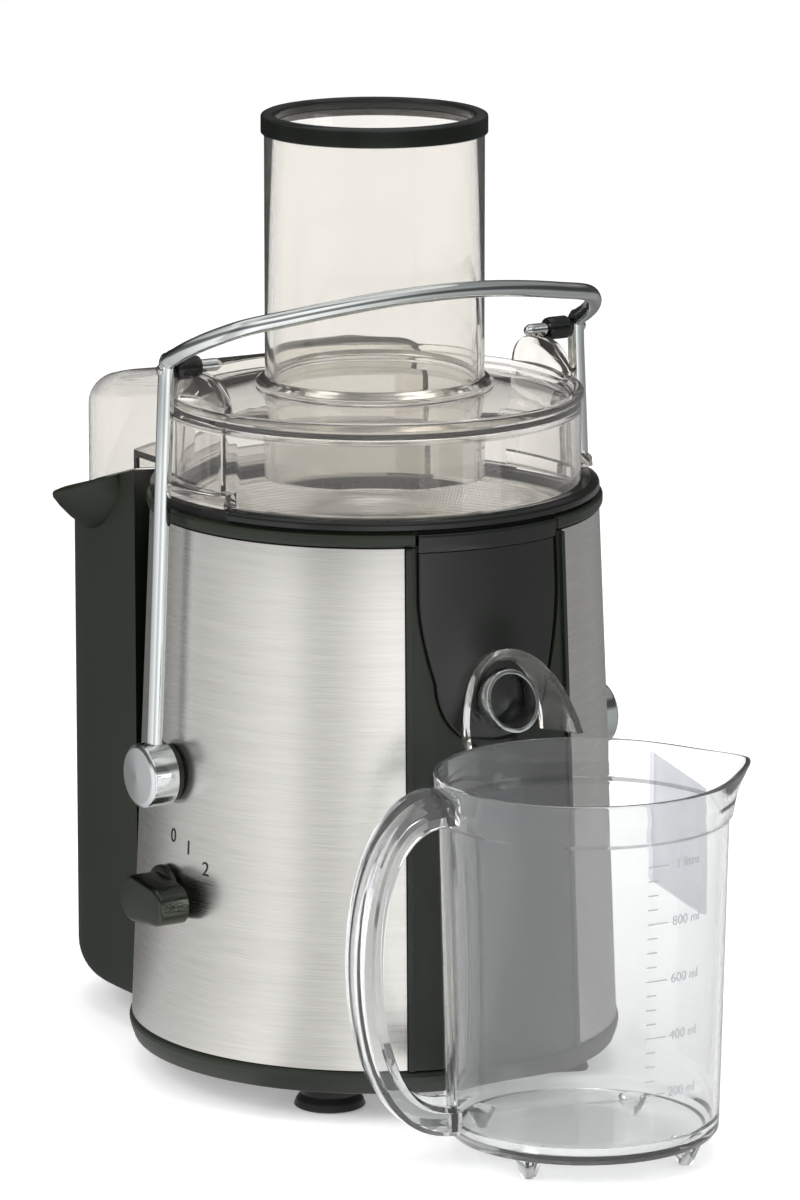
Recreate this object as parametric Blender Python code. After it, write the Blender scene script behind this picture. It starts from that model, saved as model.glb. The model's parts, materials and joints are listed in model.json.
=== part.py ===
"""Centrifugal juicer with a bail latch, a pulp container and a juice jug.

Every length below is in millimetres. The design stands on its feet at z = 0
with the motor spindle on the Z axis, the juice outlet towards -Y, the pulp
container towards +Y and the bail's hinges along X.
"""
import math

import bmesh
import bpy
from mathutils import Matrix, Vector

for old in list(bpy.data.objects):
    bpy.data.objects.remove(old, do_unlink=True)

MM = 0.001
GAP = 0.3                  # clearance between pieces that touch

# --- body ------------------------------------------------------------------
BODY_RADIUS_BOTTOM = 95.6
BODY_TAPER = 8.6           # how much narrower the jacket is at its top
BODY_RADIUS_TOP = BODY_RADIUS_BOTTOM - BODY_TAPER
BODY_TOP = 222.0
JACKET_THICKNESS = 1.2
HOUSING_WALL = 2.2
COLUMN_HALF_ANGLE = 23.4   # the black front column, about -Y
COLUMN_PROUD = 1.2         # how far the column stands out of the jacket
BEZEL_RADIUS = BODY_RADIUS_TOP + 1.4
BEZEL_TOP = BODY_TOP + 8.6

# --- feet and base ---------------------------------------------------------
BASE_RADIUS = BODY_RADIUS_BOTTOM + 1.0
BASE_TOP = 20.0
BASE_PLATE_THICKNESS = 2.4
BASE_PLATE_INSET = 5.0     # the cover's edge from the outside of the base
COVER_BORE = 9.0
VENT_CIRCLE_RADIUS = 34.0
VENT_LENGTH = 22.0
VENT_WIDTH = 3.6
FOOT_HEIGHT = 11.0
FOOT_RADIUS = 13.5
FOOT_CIRCLE_RADIUS = BASE_RADIUS - 24.6
FOOT_ANGLE = 45.0          # from the front or the back, in degrees
SCREW_HEAD_RADIUS = 3.4
SCREW_HEAD_HEIGHT = 2.4
SCREW_RADIUS = 1.8
SCREW_LENGTH = 16.0

# --- juice outlet ----------------------------------------------------------
OUTLET_DROP = 59.0         # the outlet's axis below the top of the body
OUTLET_Z = BODY_TOP - OUTLET_DROP
OUTLET_BORE = 9.8
OUTLET_WALL = 3.4
BOSS_FLARE = 4.0
BOSS_END_Y = 2.1 - BODY_RADIUS_BOTTOM
SPOUT_WALL = 1.8
SPOUT_REACH = 10.0         # the spout's mouth in front of the boss
SPOUT_MOUTH_Y = BOSS_END_Y - SPOUT_REACH
SPOUT_MOUTH_LEAN = 0.45
GUARD_HALF_WIDTH = OUTLET_BORE + 13.7
GUARD_RISE = OUTLET_BORE + SPOUT_WALL + 7.4

# --- juice bowl ------------------------------------------------------------
BEZEL_WIDTH = 8.6
BOWL_RADIUS = BEZEL_RADIUS - BEZEL_WIDTH
BOWL_WALL = 2.2
BOWL_FLOOR = 2.0
BOWL_FLOOR_TOP = OUTLET_Z + OUTLET_BORE + 5.2
BOWL_TOP = BEZEL_TOP + 1.2
OUTLET_Y = 13.8 - BOWL_RADIUS
APRON_HALF_ANGLE = 20.4
APRON_SEAM = 1.0           # visible seam round the apron
APRON_THICKNESS = 2.6
APRON_MARGIN = 2.8         # between the boss's flare and the apron's lower end
APRON_BOTTOM = OUTLET_Z - OUTLET_BORE - OUTLET_WALL - BOSS_FLARE - APRON_MARGIN
DECK_TOP = APRON_BOTTOM - 3.5
DECK_THICKNESS = 2.5

# --- lid, chute and pulp hood ----------------------------------------------
LID_RADIUS = BOWL_RADIUS + 0.1
LID_WALL = 2.6
LID_PLATE = 2.4
LID_HEIGHT = 35.5
LID_PLATE_RISE = 5.0
LID_BOTTOM = BOWL_TOP + GAP
LID_TOP = LID_BOTTOM + LID_HEIGHT
PLATE_TOP_OUTER = LID_TOP - 4.0
PLATE_TOP_INNER = PLATE_TOP_OUTER + LID_PLATE_RISE
EAR_HALF_WIDTH = 20.0
EAR_THICKNESS = 3.4
EAR_INSET = 2.13           # the ear's outer face behind the outside of the lid
CHUTE_RADIUS = 42.4
CHUTE_WALL = 3.0
CHUTE_TOP = 370.0
CHUTE_DIP = 32.0           # how far the chute reaches below the lid plate
CHUTE_RIM_HEIGHT = 4.0

# --- pulp container and hood -----------------------------------------------
BIN_RADIUS = 66.0
BIN_CENTRE_Y = BASE_RADIUS + 8.4
BIN_WALL = 2.2
BIN_BOTTOM = 11.5
BIN_RIM_AT_CENTRE = BODY_TOP - 2.0  # rim height above the container's own centre
BIN_RIM_SLOPE = 0.295
BIN_BODY_GAP = 1.6
BIN_INNER_RADIUS = BASE_RADIUS + BIN_BODY_GAP
BIN_GRIP_REACH = 17.0
BIN_GRIP_DROP = 20.0
BIN_GRIP_HALF = 16.0
BIN_CORNER = 16.0
HOOD_HALF_WIDTH = BIN_RADIUS - 6.0
HOOD_CENTRE_Y = BIN_CENTRE_Y
HOOD_WALL = 2.2
HOOD_SLOPE = 0.235
HOOD_TOP_AT_LID = LID_TOP + 0.9
HOOD_DIP = 6.0             # how far the hood's outlet cut runs below the container's rim
WINDOW_HALF_WIDTH = 48.0

# --- filter and drive ------------------------------------------------------
BASKET_RIM_RADIUS = BOWL_RADIUS - 6.3
BASKET_TOP = BOWL_TOP - 3.3
BASKET_WALL = 1.2
BASKET_FLOOR = BOWL_FLOOR_TOP + 4.0
BASKET_LIP = 2.6
GRATER_RADIUS = 38.0
GRATER_THICKNESS = 1.2
SHAFT_RADIUS = 4.0
SHAFT_BOTTOM = 22.0
SHAFT_PRESS = 0.05         # radial room of the pieces that turn with the shaft
BEARING_ROOM = 0.25        # radial room of the bearings, which stand still
COUPLING_RADIUS = 9.0
COUPLING_DROP = 6.0        # how far the coupling reaches below the deck
ARMATURE_RADIUS = 22.0
ARMATURE_BOTTOM = 62.0
ARMATURE_TOP = 100.0
WINDING_DEPTH = 7.0        # the end windings beyond the core, and inside its rim
COMMUTATOR_RADIUS = 12.0
COMMUTATOR_LOW = 38.0
COMMUTATOR_HIGH = 52.0
FAN_RADIUS = 33.0
FAN_LOW = 110.0
FAN_HUB_HEIGHT = 8.0
AIR_GAP = 0.8
STATOR_RADIUS = 40.0
COIL_HEIGHT = 8.7
COIL_INSET = 5.0
BEARING_RADIUS = 11.0
BEARING_HEIGHT = 7.0
LOWER_BEARING_Z = 24.0
UPPER_BEARING_Z = 121.0
BRACKET_RADIUS = 44.0
BRACKET_HUB = 16.0
BRACKET_PLATE = 4.0
BRACKET_TOP = UPPER_BEARING_Z + BRACKET_PLATE
MOUNT_CIRCLE_RADIUS = 38.0
MOUNT_RADIUS = 5.5

# --- bail latch ------------------------------------------------------------
HINGE_Z = DECK_TOP - 13.5
ROD_RADIUS = 3.25
ARM_X_BOTTOM = BODY_RADIUS_BOTTOM + 2.9
ARM_X_TOP = BEZEL_RADIUS + 3.6
PIN_RADIUS = 2.5
PIN_Z = LID_TOP + 15.4
EAR_TOP = PIN_Z - PIN_RADIUS - GAP
CAP_RADIUS = 12.5
WASHER_RADIUS = 11.0
WASHER_DEPTH = 2.6
BOLT_RADIUS = 3.2
SLEEVE_RADIUS = 4.5
SLEEVE_ROOM = 0.48         # between a latch sleeve and the lid's ear
PIN_TIP_X = LID_RADIUS - 11.4
BOW_REACH = CHUTE_RADIUS + ROD_RADIUS + 4.35  # how far the bow stands forward of the hinge plane
BOW_CLIMB = 0.53           # rise of the bow for each mm that it comes forward

# --- speed knob ------------------------------------------------------------
KNOB_Z = 78.0
KNOB_HUB_RADIUS = 9.5
KNOB_TIP_RADIUS = 6.0
KNOB_REACH = 17.0
KNOB_DEPTH = 12.5
KNOB_COLLAR_RADIUS = 14.0
KNOB_COLLAR_DEPTH = 3.0
KNOB_SPINDLE_RADIUS = 3.0
SWITCH_SETBACK = 3.0       # between the housing wall and the switch behind it

# --- mains lead inlet ------------------------------------------------------
GLAND_Y = 34.0
GLAND_Z = 34.0
GLAND_RADIUS = 7.0
CORD_BORE = 3.6

# --- juice jug -------------------------------------------------------------
JUG_TURN = -14.5           # the lip's bearing from +X, in degrees
JUG_RADIUS_BOTTOM = 51.5
JUG_RADIUS_TOP = 54.6
JUG_RIM_RADIUS = 56.2
JUG_WALL = 2.2
JUG_FOOT_HEIGHT = 8.0
JUG_CLEARANCE = 3.5        # between the jug's rim and the spout's guard
JUG_RIM_Z = OUTLET_Z - OUTLET_BORE - SPOUT_WALL - JUG_CLEARANCE - 1.9
JUG_COLLAR_DROP = 15.0
JUG_LIP_REACH = 65.5
JUG_Y = -(BASE_RADIUS + JUG_RADIUS_BOTTOM + 2.9)
HANDLE_REACH = 90.0
HANDLE_WIDTH = 15.0
HANDLE_THICKNESS = 8.5
SEPARATOR_OFFSET = 36.0    # froth separator's distance from the jug's axis
SEPARATOR_THICKNESS = 1.8
SEPARATOR_DEPTH = 48.0     # below its top edge, in the middle
SEPARATOR_RISE = 14.0      # how much shorter it is at its sides

BIG = 46                   # sides of the large round pieces
SMALL = 16                 # sides of the small ones
CUTTER_START = 0.13        # turns a cutter's corners off the corners of what it cuts, in radians


# --- helpers ---------------------------------------------------------------
def linear(hex_colour):
    """sRGB hex text to a linear RGBA tuple."""
    channels = [int(hex_colour[i:i + 2], 16) / 255 for i in (1, 3, 5)]
    return tuple(c / 12.92 if c <= 0.04045 else ((c + 0.055) / 1.055) ** 2.4
                 for c in channels) + (1.0,)


def make_material(name, colour, roughness, metallic=0.0, alpha=1.0):
    material = bpy.data.materials.new(name)
    material.use_nodes = True
    shader = material.node_tree.nodes["Principled BSDF"]
    shader.inputs["Base Color"].default_value = linear(colour)
    shader.inputs["Roughness"].default_value = roughness
    shader.inputs["Metallic"].default_value = metallic
    shader.inputs["Alpha"].default_value = alpha
    return material


MATERIALS = {
    "steel": make_material("brushed_stainless", "#b9bab6", 0.32, 1.0),
    "black": make_material("satin_black_abs", "#33382f", 0.42),
    "gloss": make_material("gloss_black_abs", "#16181a", 0.12),
    "clear": make_material("clear_san", "#e8e8ea", 0.05, alpha=0.3),
    "chrome": make_material("chrome_plate", "#d9dbdc", 0.06, 1.0),
    "smoke": make_material("smoked_chrome", "#3c3d40", 0.18, 0.6),
    "rubber": make_material("black_rubber", "#141414", 0.7),
    "iron": make_material("electrical_steel", "#6d6c6a", 0.5, 0.8),
    "copper": make_material("enamelled_copper", "#a4572a", 0.35, 0.8),
    "alloy": make_material("die_cast_alloy", "#9c9d9f", 0.45, 0.9),
    "board": make_material("green_circuit_board", "#1f5b36", 0.5),
    "carbon": make_material("carbon", "#26262a", 0.6),
}


def make_empty(name, place, parent=None):
    empty = bpy.data.objects.new(name, None)
    bpy.context.collection.objects.link(empty)
    empty.parent = parent
    empty.location = Vector(place) * MM
    return empty


# The world origin is the middle of the object's footprint.
FRONT_Y = JUG_Y - JUG_RIM_RADIUS
BACK_Y = BIN_CENTRE_Y + BIN_RADIUS
FRAME = make_empty("juicer_frame", (0, -(FRONT_Y + BACK_Y) / 2, 0))
GROUPS = {
    "housing": (0, 0, 0),
    "bail": (0, 0, HINGE_Z),
    "spinner": (0, 0, BASKET_FLOOR),
    "knob": (0, 0, KNOB_Z),
    "bin": (0, BIN_CENTRE_Y, BIN_BOTTOM),
    "jug": (0, JUG_Y, 0),
}
AXES = {name: make_empty(name + "_axis", place, FRAME) for name, place in GROUPS.items()}


def place_mesh(name, bm, material, group, sharp=35.0):
    """Makes an object of a bmesh that is drawn in the design's own frame."""
    bmesh.ops.recalc_face_normals(bm, faces=bm.faces)
    mesh = bpy.data.meshes.new(name)
    bm.to_mesh(mesh)
    bm.free()
    mesh.shade_smooth()
    mesh.set_sharp_from_angle(angle=math.radians(sharp))
    mesh.materials.append(MATERIALS[material])
    thing = bpy.data.objects.new(name, mesh)
    bpy.context.collection.objects.link(thing)
    thing.parent = AXES[group]
    thing.location = -AXES[group].location
    return thing


def add_skin(bm, loops, closed=False):
    """Skins a stack of equal loops of points; open stacks get end caps."""
    rings = [[bm.verts.new(Vector(point) * MM) for point in loop] for loop in loops]
    count = len(rings[0])
    pairs = list(zip(rings, rings[1:]))
    if closed:
        pairs.append((rings[-1], rings[0]))
    for low, high in pairs:
        for i in range(count):
            j = (i + 1) % count
            bm.faces.new((low[i], low[j], high[j], high[i]))
    if not closed:
        bm.faces.new(rings[0])
        bm.faces.new(list(reversed(rings[-1])))


def skin(name, loops, material, group="housing", closed=False, sharp=35.0):
    bm = bmesh.new()
    add_skin(bm, loops, closed)
    return place_mesh(name, bm, material, group, sharp)


def circle(radius, z, centre=(0.0, 0.0), sides=BIG, bore_axis="Z", start=0.0):
    """Points of a circle round an axis that runs along Z, X or Y at `centre`."""
    points = []
    for i in range(sides):
        angle = start + 2 * math.pi * i / sides
        u = centre[0] + radius * math.cos(angle)
        v = centre[1] + radius * math.sin(angle)
        points.append({"Z": (u, v, z), "X": (z, u, v), "Y": (u, z, v)}[bore_axis])
    return points


def turned(name, profile, material, group="housing", ring=False, sides=BIG,
           centre=(0.0, 0.0), axis="Z", start=0.0):
    """Turns (radius, height) points round an axis; `ring` closes the profile."""
    loops = [circle(r, z, centre, sides, axis, start) for r, z in profile]
    return skin(name, loops, material, group, ring)


def drill(target, name, radius, reach, centre, axis):
    """Bores a round hole between two distances along an axis."""
    tool = turned(name, [(radius, reach[0]), (radius, reach[1])], "black",
                  sides=SMALL, centre=centre, axis=axis, start=CUTTER_START)
    boolean(target, tool, "DIFFERENCE")


def sector_loops(section, middle, half_angle, steps):
    """Sweeps a closed (radius, height) section round Z; angles from -Y, in degrees."""
    loops = []
    for i in range(steps + 1):
        angle = math.radians(middle - half_angle + 2 * half_angle * i / steps)
        loops.append([(r * math.sin(angle), -r * math.cos(angle), z) for r, z in section])
    return loops


def swept(points, section):
    """Carries a section of (across, up) points along a path of 3-D points."""
    path = [Vector(p) for p in points]
    loops = []
    side = None
    for i, here in enumerate(path):
        before = path[max(i - 1, 0)]
        after = path[min(i + 1, len(path) - 1)]
        ahead = (after - before).normalized()
        if side is None:
            side = ahead.orthogonal().normalized()
        side = (side - ahead * side.dot(ahead)).normalized()
        up = ahead.cross(side)
        loops.append([here + side * a + up * b for a, b in section])
    return loops


def round_section(radius, sides):
    return [(radius * math.cos(2 * math.pi * i / sides), radius * math.sin(2 * math.pi * i / sides))
            for i in range(sides)]


def box_loops(low, high):
    (x0, y0, z0), (x1, y1, z1) = low, high
    return [[(x0, y0, z), (x1, y0, z), (x1, y1, z), (x0, y1, z)] for z in (z0, z1)]


def boolean(target, tool, operation):
    """Cuts or joins with a hidden tool object, as an exact Boolean."""
    tool.hide_render = True
    tool.display_type = "WIRE"
    modifier = target.modifiers.new(operation.lower(), "BOOLEAN")
    modifier.operation = operation
    modifier.object = tool
    modifier.solver = "EXACT"


def body_radius(z):
    """Outside of the steel jacket at height z."""
    share = (z - BASE_TOP) / (BODY_TOP - BASE_TOP)
    return BODY_RADIUS_BOTTOM + (BODY_RADIUS_TOP - BODY_RADIUS_BOTTOM) * share


def housing_radius(z):
    """Outside of the plastic shell that carries the jacket."""
    return body_radius(z) - JACKET_THICKNESS - GAP


def polar(radius, degrees):
    """A point at a bearing counted from -Y (the front) towards +X."""
    angle = math.radians(degrees)
    return radius * math.sin(angle), -radius * math.cos(angle)


# --- feet and base ---------------------------------------------------------
FOOT_BEARINGS = {
    "foot_front_left": -FOOT_ANGLE,
    "foot_front_right": FOOT_ANGLE,
    "foot_rear_left": -180 + FOOT_ANGLE,
    "foot_rear_right": 180 - FOOT_ANGLE,
}


def make_feet():
    top = FOOT_HEIGHT - GAP
    for name, bearing in FOOT_BEARINGS.items():
        turned(name, [(FOOT_RADIUS - 4, 1.6), (FOOT_RADIUS - 1.6, 0), (FOOT_RADIUS, 0),
                      (FOOT_RADIUS + 0.4, 1.4), (FOOT_RADIUS - 2.5, 4.5), (FOOT_RADIUS - 2.5, top)],
               "rubber", sides=SMALL, centre=polar(FOOT_CIRCLE_RADIUS, bearing))


def make_base():
    plate_radius = BASE_RADIUS - BASE_PLATE_INSET
    plate_top = FOOT_HEIGHT + BASE_PLATE_THICKNESS
    turned("base_ring", [(plate_radius + GAP, FOOT_HEIGHT), (BASE_RADIUS - 1.4, FOOT_HEIGHT),
                         (BASE_RADIUS, BASE_TOP - 1.2), (BASE_RADIUS - 0.8, BASE_TOP),
                         (BODY_RADIUS_BOTTOM - 3.4, BASE_TOP), (plate_radius + GAP, plate_top + 1.0)],
           "black", ring=True)
    plate = turned("bottom_cover", [(COVER_BORE, FOOT_HEIGHT), (plate_radius, FOOT_HEIGHT),
                                    (plate_radius, plate_top), (COVER_BORE, plate_top)],
                   "black", ring=True)
    for i in range(6):
        bearing = 60 * i
        x, y = polar(VENT_CIRCLE_RADIUS, bearing)
        slot = skin("vent_cutter_%d" % i, box_loops((-VENT_LENGTH / 2, -VENT_WIDTH / 2, FOOT_HEIGHT - 2),
                              (VENT_LENGTH / 2, VENT_WIDTH / 2, plate_top + 2)), "black")
        slot.location += Vector((x, y, 0)) * MM
        slot.rotation_euler.z = math.radians(bearing)
        boolean(plate, slot, "DIFFERENCE")


def make_screws():
    seat = FOOT_HEIGHT + BASE_PLATE_THICKNESS + GAP
    for i, name in enumerate(("front", "right", "rear", "left")):
        place = polar(FOOT_CIRCLE_RADIUS + 8.0, 90 * i)
        neck = seat + SCREW_HEAD_HEIGHT
        turned("base_screw_" + name, [(SCREW_HEAD_RADIUS, seat), (SCREW_HEAD_RADIUS, neck),
                                      (SCREW_RADIUS, neck), (SCREW_RADIUS, seat + SCREW_LENGTH)],
               "steel", sides=12, centre=place)


# --- body ------------------------------------------------------------------
def make_housing():
    low = BASE_TOP + GAP
    top = BODY_TOP - GAP
    deck_low = DECK_TOP - DECK_THICKNESS
    hole = COUPLING_RADIUS + 2.0

    def inner(z):
        return housing_radius(z) - HOUSING_WALL

    shell = turned("motor_housing", [(inner(low), low), (housing_radius(low), low),
                                     (housing_radius(top), top), (inner(top), top),
                                     (inner(DECK_TOP), DECK_TOP), (hole, DECK_TOP), (hole, deck_low),
                                     (inner(deck_low), deck_low)], "black", ring=True)
    half = BODY_RADIUS_BOTTOM * math.sin(math.radians(APRON_HALF_ANGLE)) + 0.7
    window = skin("outlet_window_cutter",
                  box_loops((-half, -BODY_RADIUS_BOTTOM - 4, APRON_BOTTOM - 2),
                            (half, 27 - BODY_RADIUS_TOP, BODY_TOP + 5)), "black")
    boolean(shell, window, "DIFFERENCE")
    drill_body(shell, "shell")


def drill_body(target, word):
    """The holes that the knob, the hinge bolts and the cord need in jacket and shell."""
    outside = BASE_RADIUS + 4.0
    inside = BODY_RADIUS_TOP - 10.0
    drill(target, word + "_knob_cutter", KNOB_SPINDLE_RADIUS + 2.0, (-outside, -inside), (0, KNOB_Z), "X")
    drill(target, word + "_left_hinge_cutter", BOLT_RADIUS + GAP, (-outside, -inside), (0, HINGE_Z), "X")
    drill(target, word + "_right_hinge_cutter", BOLT_RADIUS + GAP, (inside, outside), (0, HINGE_Z), "X")
    drill(target, word + "_gland_cutter", GLAND_RADIUS + GAP, (inside, outside), (GLAND_Y, GLAND_Z), "X")


def make_jacket():
    low = BASE_TOP + GAP
    top = BODY_TOP - GAP
    edge = 0.25                # degrees left between the jacket and the column
    section = [(body_radius(low) - JACKET_THICKNESS, low), (body_radius(low), low),
               (body_radius(top), top), (body_radius(top) - JACKET_THICKNESS, top)]
    half = 180 - COLUMN_HALF_ANGLE - edge
    jacket = skin("steel_jacket", sector_loops(section, 180, half, BIG - 6), "steel")
    drill_body(jacket, "jacket")


def apron_points(grow):
    """Front outline of the bowl's apron as (bearing, z), a U that tapers downwards."""
    half = APRON_HALF_ANGLE + grow * 0.65
    drop = 26.0
    turn_z = APRON_BOTTOM + drop
    points = [(half, BEZEL_TOP + GAP + 3), (half, BODY_TOP - 8), (half - 0.5, BODY_TOP - 21),
              (half - 1.3, BODY_TOP - 32), (half - 2.6, BODY_TOP - 42)]
    narrow = half - 4.2
    drop += grow
    for i in range(7):
        angle = math.radians(90 * i / 6)
        points.append((narrow * math.cos(angle), turn_z - drop * math.sin(angle)))
    left = [(-bearing, z) for bearing, z in points[:-1]]
    return points + left[::-1]


def apron_loops(inner, outer, grow, top):
    """Two matching outlines, at an inner and an outer radius."""
    loops = []
    for radius in (inner, outer):
        loop = []
        for bearing, z in apron_points(grow):
            z = min(z, top)
            x, y = polar(radius(z) if callable(radius) else radius, bearing)
            loop.append((x, y, z))
        loops.append(loop)
    return loops


def make_column():
    low = BASE_TOP + GAP
    top = BODY_TOP - GAP
    section = [(housing_radius(low) + GAP, low), (body_radius(low) + COLUMN_PROUD * 0.5, low),
               (body_radius(low + 4) + COLUMN_PROUD, low + 4), (body_radius(top) + COLUMN_PROUD, top),
               (housing_radius(top) + GAP, top)]
    column = skin("front_column", sector_loops(section, 0, COLUMN_HALF_ANGLE, 14), "black")
    notch_loops = apron_loops(BODY_RADIUS_TOP - 27, BODY_RADIUS_BOTTOM + 14, APRON_SEAM, BODY_TOP + 8)
    notch = skin("apron_notch_cutter", notch_loops, "black")
    boolean(column, notch, "DIFFERENCE")


def make_bezel():
    low = BODY_TOP + GAP
    section = [(BOWL_RADIUS + 0.6, low), (BEZEL_RADIUS - 0.5, low), (BEZEL_RADIUS, low + 1.0),
               (BEZEL_RADIUS, BEZEL_TOP - 1.6), (BEZEL_RADIUS - 1.4, BEZEL_TOP),
               (BOWL_RADIUS + 0.6, BEZEL_TOP)]
    half = 180 - APRON_HALF_ANGLE - APRON_SEAM * 0.65
    skin("top_bezel", sector_loops(section, 180, half, BIG - 6), "black")


# --- juice bowl and spout --------------------------------------------------
def make_bowl():
    outer = BOWL_RADIUS
    inner = BOWL_RADIUS - BOWL_WALL
    floor_low = BOWL_FLOOR_TOP - BOWL_FLOOR
    hub = COUPLING_RADIUS + 1.0
    bowl = turned("juice_bowl", [(hub, floor_low), (outer - 6, floor_low), (outer - 1.2, floor_low + 6),
                                 (outer - 0.4, BOWL_TOP - 8), (outer, BOWL_TOP - 1), (outer - 0.8, BOWL_TOP),
                                 (inner - 1.2, BOWL_TOP), (inner - 1.6, BOWL_TOP - 8),
                                 (inner - 2.4, floor_low + 9), (outer - 8, BOWL_FLOOR_TOP),
                                 (hub + 2.2, BOWL_FLOOR_TOP), (hub + 2.2, BOWL_FLOOR_TOP + 2.4),
                                 (hub, BOWL_FLOOR_TOP + 2.4)], "gloss", ring=True)
    boss_radius = OUTLET_BORE + OUTLET_WALL
    well_radius = boss_radius - 0.7
    well = turned("outlet_well_tool", [(well_radius, OUTLET_Z - 9), (well_radius, floor_low + 1)],
                  "gloss", sides=SMALL, centre=(0, OUTLET_Y), start=CUTTER_START)
    boolean(bowl, well, "UNION")
    flare_y = -(body_radius(OUTLET_Z) - 1.0)
    boss = turned("outlet_boss_tool", [(boss_radius, OUTLET_Y + 4), (boss_radius, flare_y + 2),
                                       (boss_radius + BOSS_FLARE, flare_y + 1),
                                       (boss_radius + BOSS_FLARE * 0.8, flare_y - 1.4),
                                       (boss_radius + BOSS_FLARE * 0.3, BOSS_END_Y + 1),
                                       (boss_radius, BOSS_END_Y)],
                  "gloss", sides=SMALL + 4, centre=(0, OUTLET_Z), axis="Y", start=CUTTER_START / 2)
    boolean(bowl, boss, "UNION")

    def apron_face(z):
        return body_radius(z) + COLUMN_PROUD - 0.4

    def apron_back(z):
        return apron_face(z) - APRON_THICKNESS

    apron = skin("apron_tool", apron_loops(apron_back, apron_face, 0.0, BEZEL_TOP), "gloss")
    boolean(bowl, apron, "UNION")
    bridge_section = [(outer - 1.5, BEZEL_TOP - 3.0), (body_radius(BEZEL_TOP) - 0.5, BEZEL_TOP - 3.0),
                      (body_radius(BEZEL_TOP) - 0.5, BEZEL_TOP), (outer - 1.5, BEZEL_TOP)]
    bridge = skin("apron_bridge_tool", sector_loops(bridge_section, 0, APRON_HALF_ANGLE - 0.6, 12), "gloss")
    boolean(bowl, bridge, "UNION")
    drill(bowl, "outlet_drain_cutter", OUTLET_BORE - 0.4, (OUTLET_Z - 5, BOWL_FLOOR_TOP + 3),
          (0, OUTLET_Y), "Z")
    drill(bowl, "outlet_bore_cutter", OUTLET_BORE, (OUTLET_Y - 2, BOSS_END_Y - 5), (0, OUTLET_Z), "Y")


def mouth_y(z):
    """The slanted plane that cuts the front of the spout and of its guard."""
    return SPOUT_MOUTH_Y - SPOUT_MOUTH_LEAN * (OUTLET_Z - z)


def arch(half_width, top, bottom, wall, steps=12):
    """Closed U outline as (x, z): over the outside and back along the inside."""
    def side(width, crown):
        points = []
        for i in range(steps + 1):
            angle = math.pi * i / steps
            flare = 1 + 0.12 * (1 - math.sin(angle)) ** 2
            rise = (crown - bottom) * math.sin(angle) ** 0.8
            points.append((width * math.cos(angle) * flare, bottom + rise))
        return points

    return side(half_width, top) + side(half_width - wall, top - wall)[::-1]


def make_spout():
    """Clear outlet: a short slanted tube under an arched guard that stands over the jug."""
    back = BOSS_END_Y - GAP
    outer = OUTLET_BORE + SPOUT_WALL
    bottom = JUG_RIM_Z + JUG_CLEARANCE
    top = OUTLET_Z + GUARD_RISE
    section = arch(GUARD_HALF_WIDTH, top, bottom, SPOUT_WALL)
    guard = [[(x * 0.92, back, z) for x, z in section], [(x, mouth_y(z), z) for x, z in section]]
    spout = skin("juice_spout", guard, "clear")
    half = len(section) // 2
    web = [[(x * 0.9, y, z - 0.5) for x, z in section[:half]] for y in (back, back - SPOUT_WALL)]
    web_tool = skin("spout_web_tool", web, "clear")
    boolean(spout, web_tool, "UNION")
    ring = circle(outer, 0, (0, OUTLET_Z), SMALL + 4, "Y")
    tube = [[(x, back, z) for x, y, z in ring], [(x, mouth_y(z) - 0.8, z) for x, y, z in ring]]
    tube_tool = skin("spout_tube_tool", tube, "clear")
    boolean(spout, tube_tool, "UNION")
    drill(spout, "spout_bore_cutter", OUTLET_BORE, (BOSS_END_Y + 4, SPOUT_MOUTH_Y - 20), (0, OUTLET_Z), "Y")


# --- lid, chute and hood ---------------------------------------------------
def d_outline(radius, centre_y, inner_radius, steps=24):
    """Plan of a D that hugs a round body: a half-round end, straight sides, a hollow front."""
    points = []
    for i in range(steps + 1):
        angle = math.pi * i / steps
        points.append((radius * math.cos(angle), centre_y + radius * math.sin(angle)))
    corner = math.asin(radius / inner_radius)
    for i in range(steps + 1):
        angle = -corner + 2 * corner * i / steps
        points.append((inner_radius * math.sin(angle), inner_radius * math.cos(angle)))
    return points


def prism(outline, low, high):
    """Loops of an upright prism; low and high are numbers or functions of (x, y)."""
    loops = []
    for level in (low, high):
        loops.append([(x, y, level(x, y) if callable(level) else level) for x, y in outline])
    return loops


def bin_rim(x, y):
    return BIN_RIM_AT_CENTRE - BIN_RIM_SLOPE * (y - BIN_CENTRE_Y)


def hood_top(x, y):
    return HOOD_TOP_AT_LID - HOOD_SLOPE * max(y - LID_RADIUS, -6.0)


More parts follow.
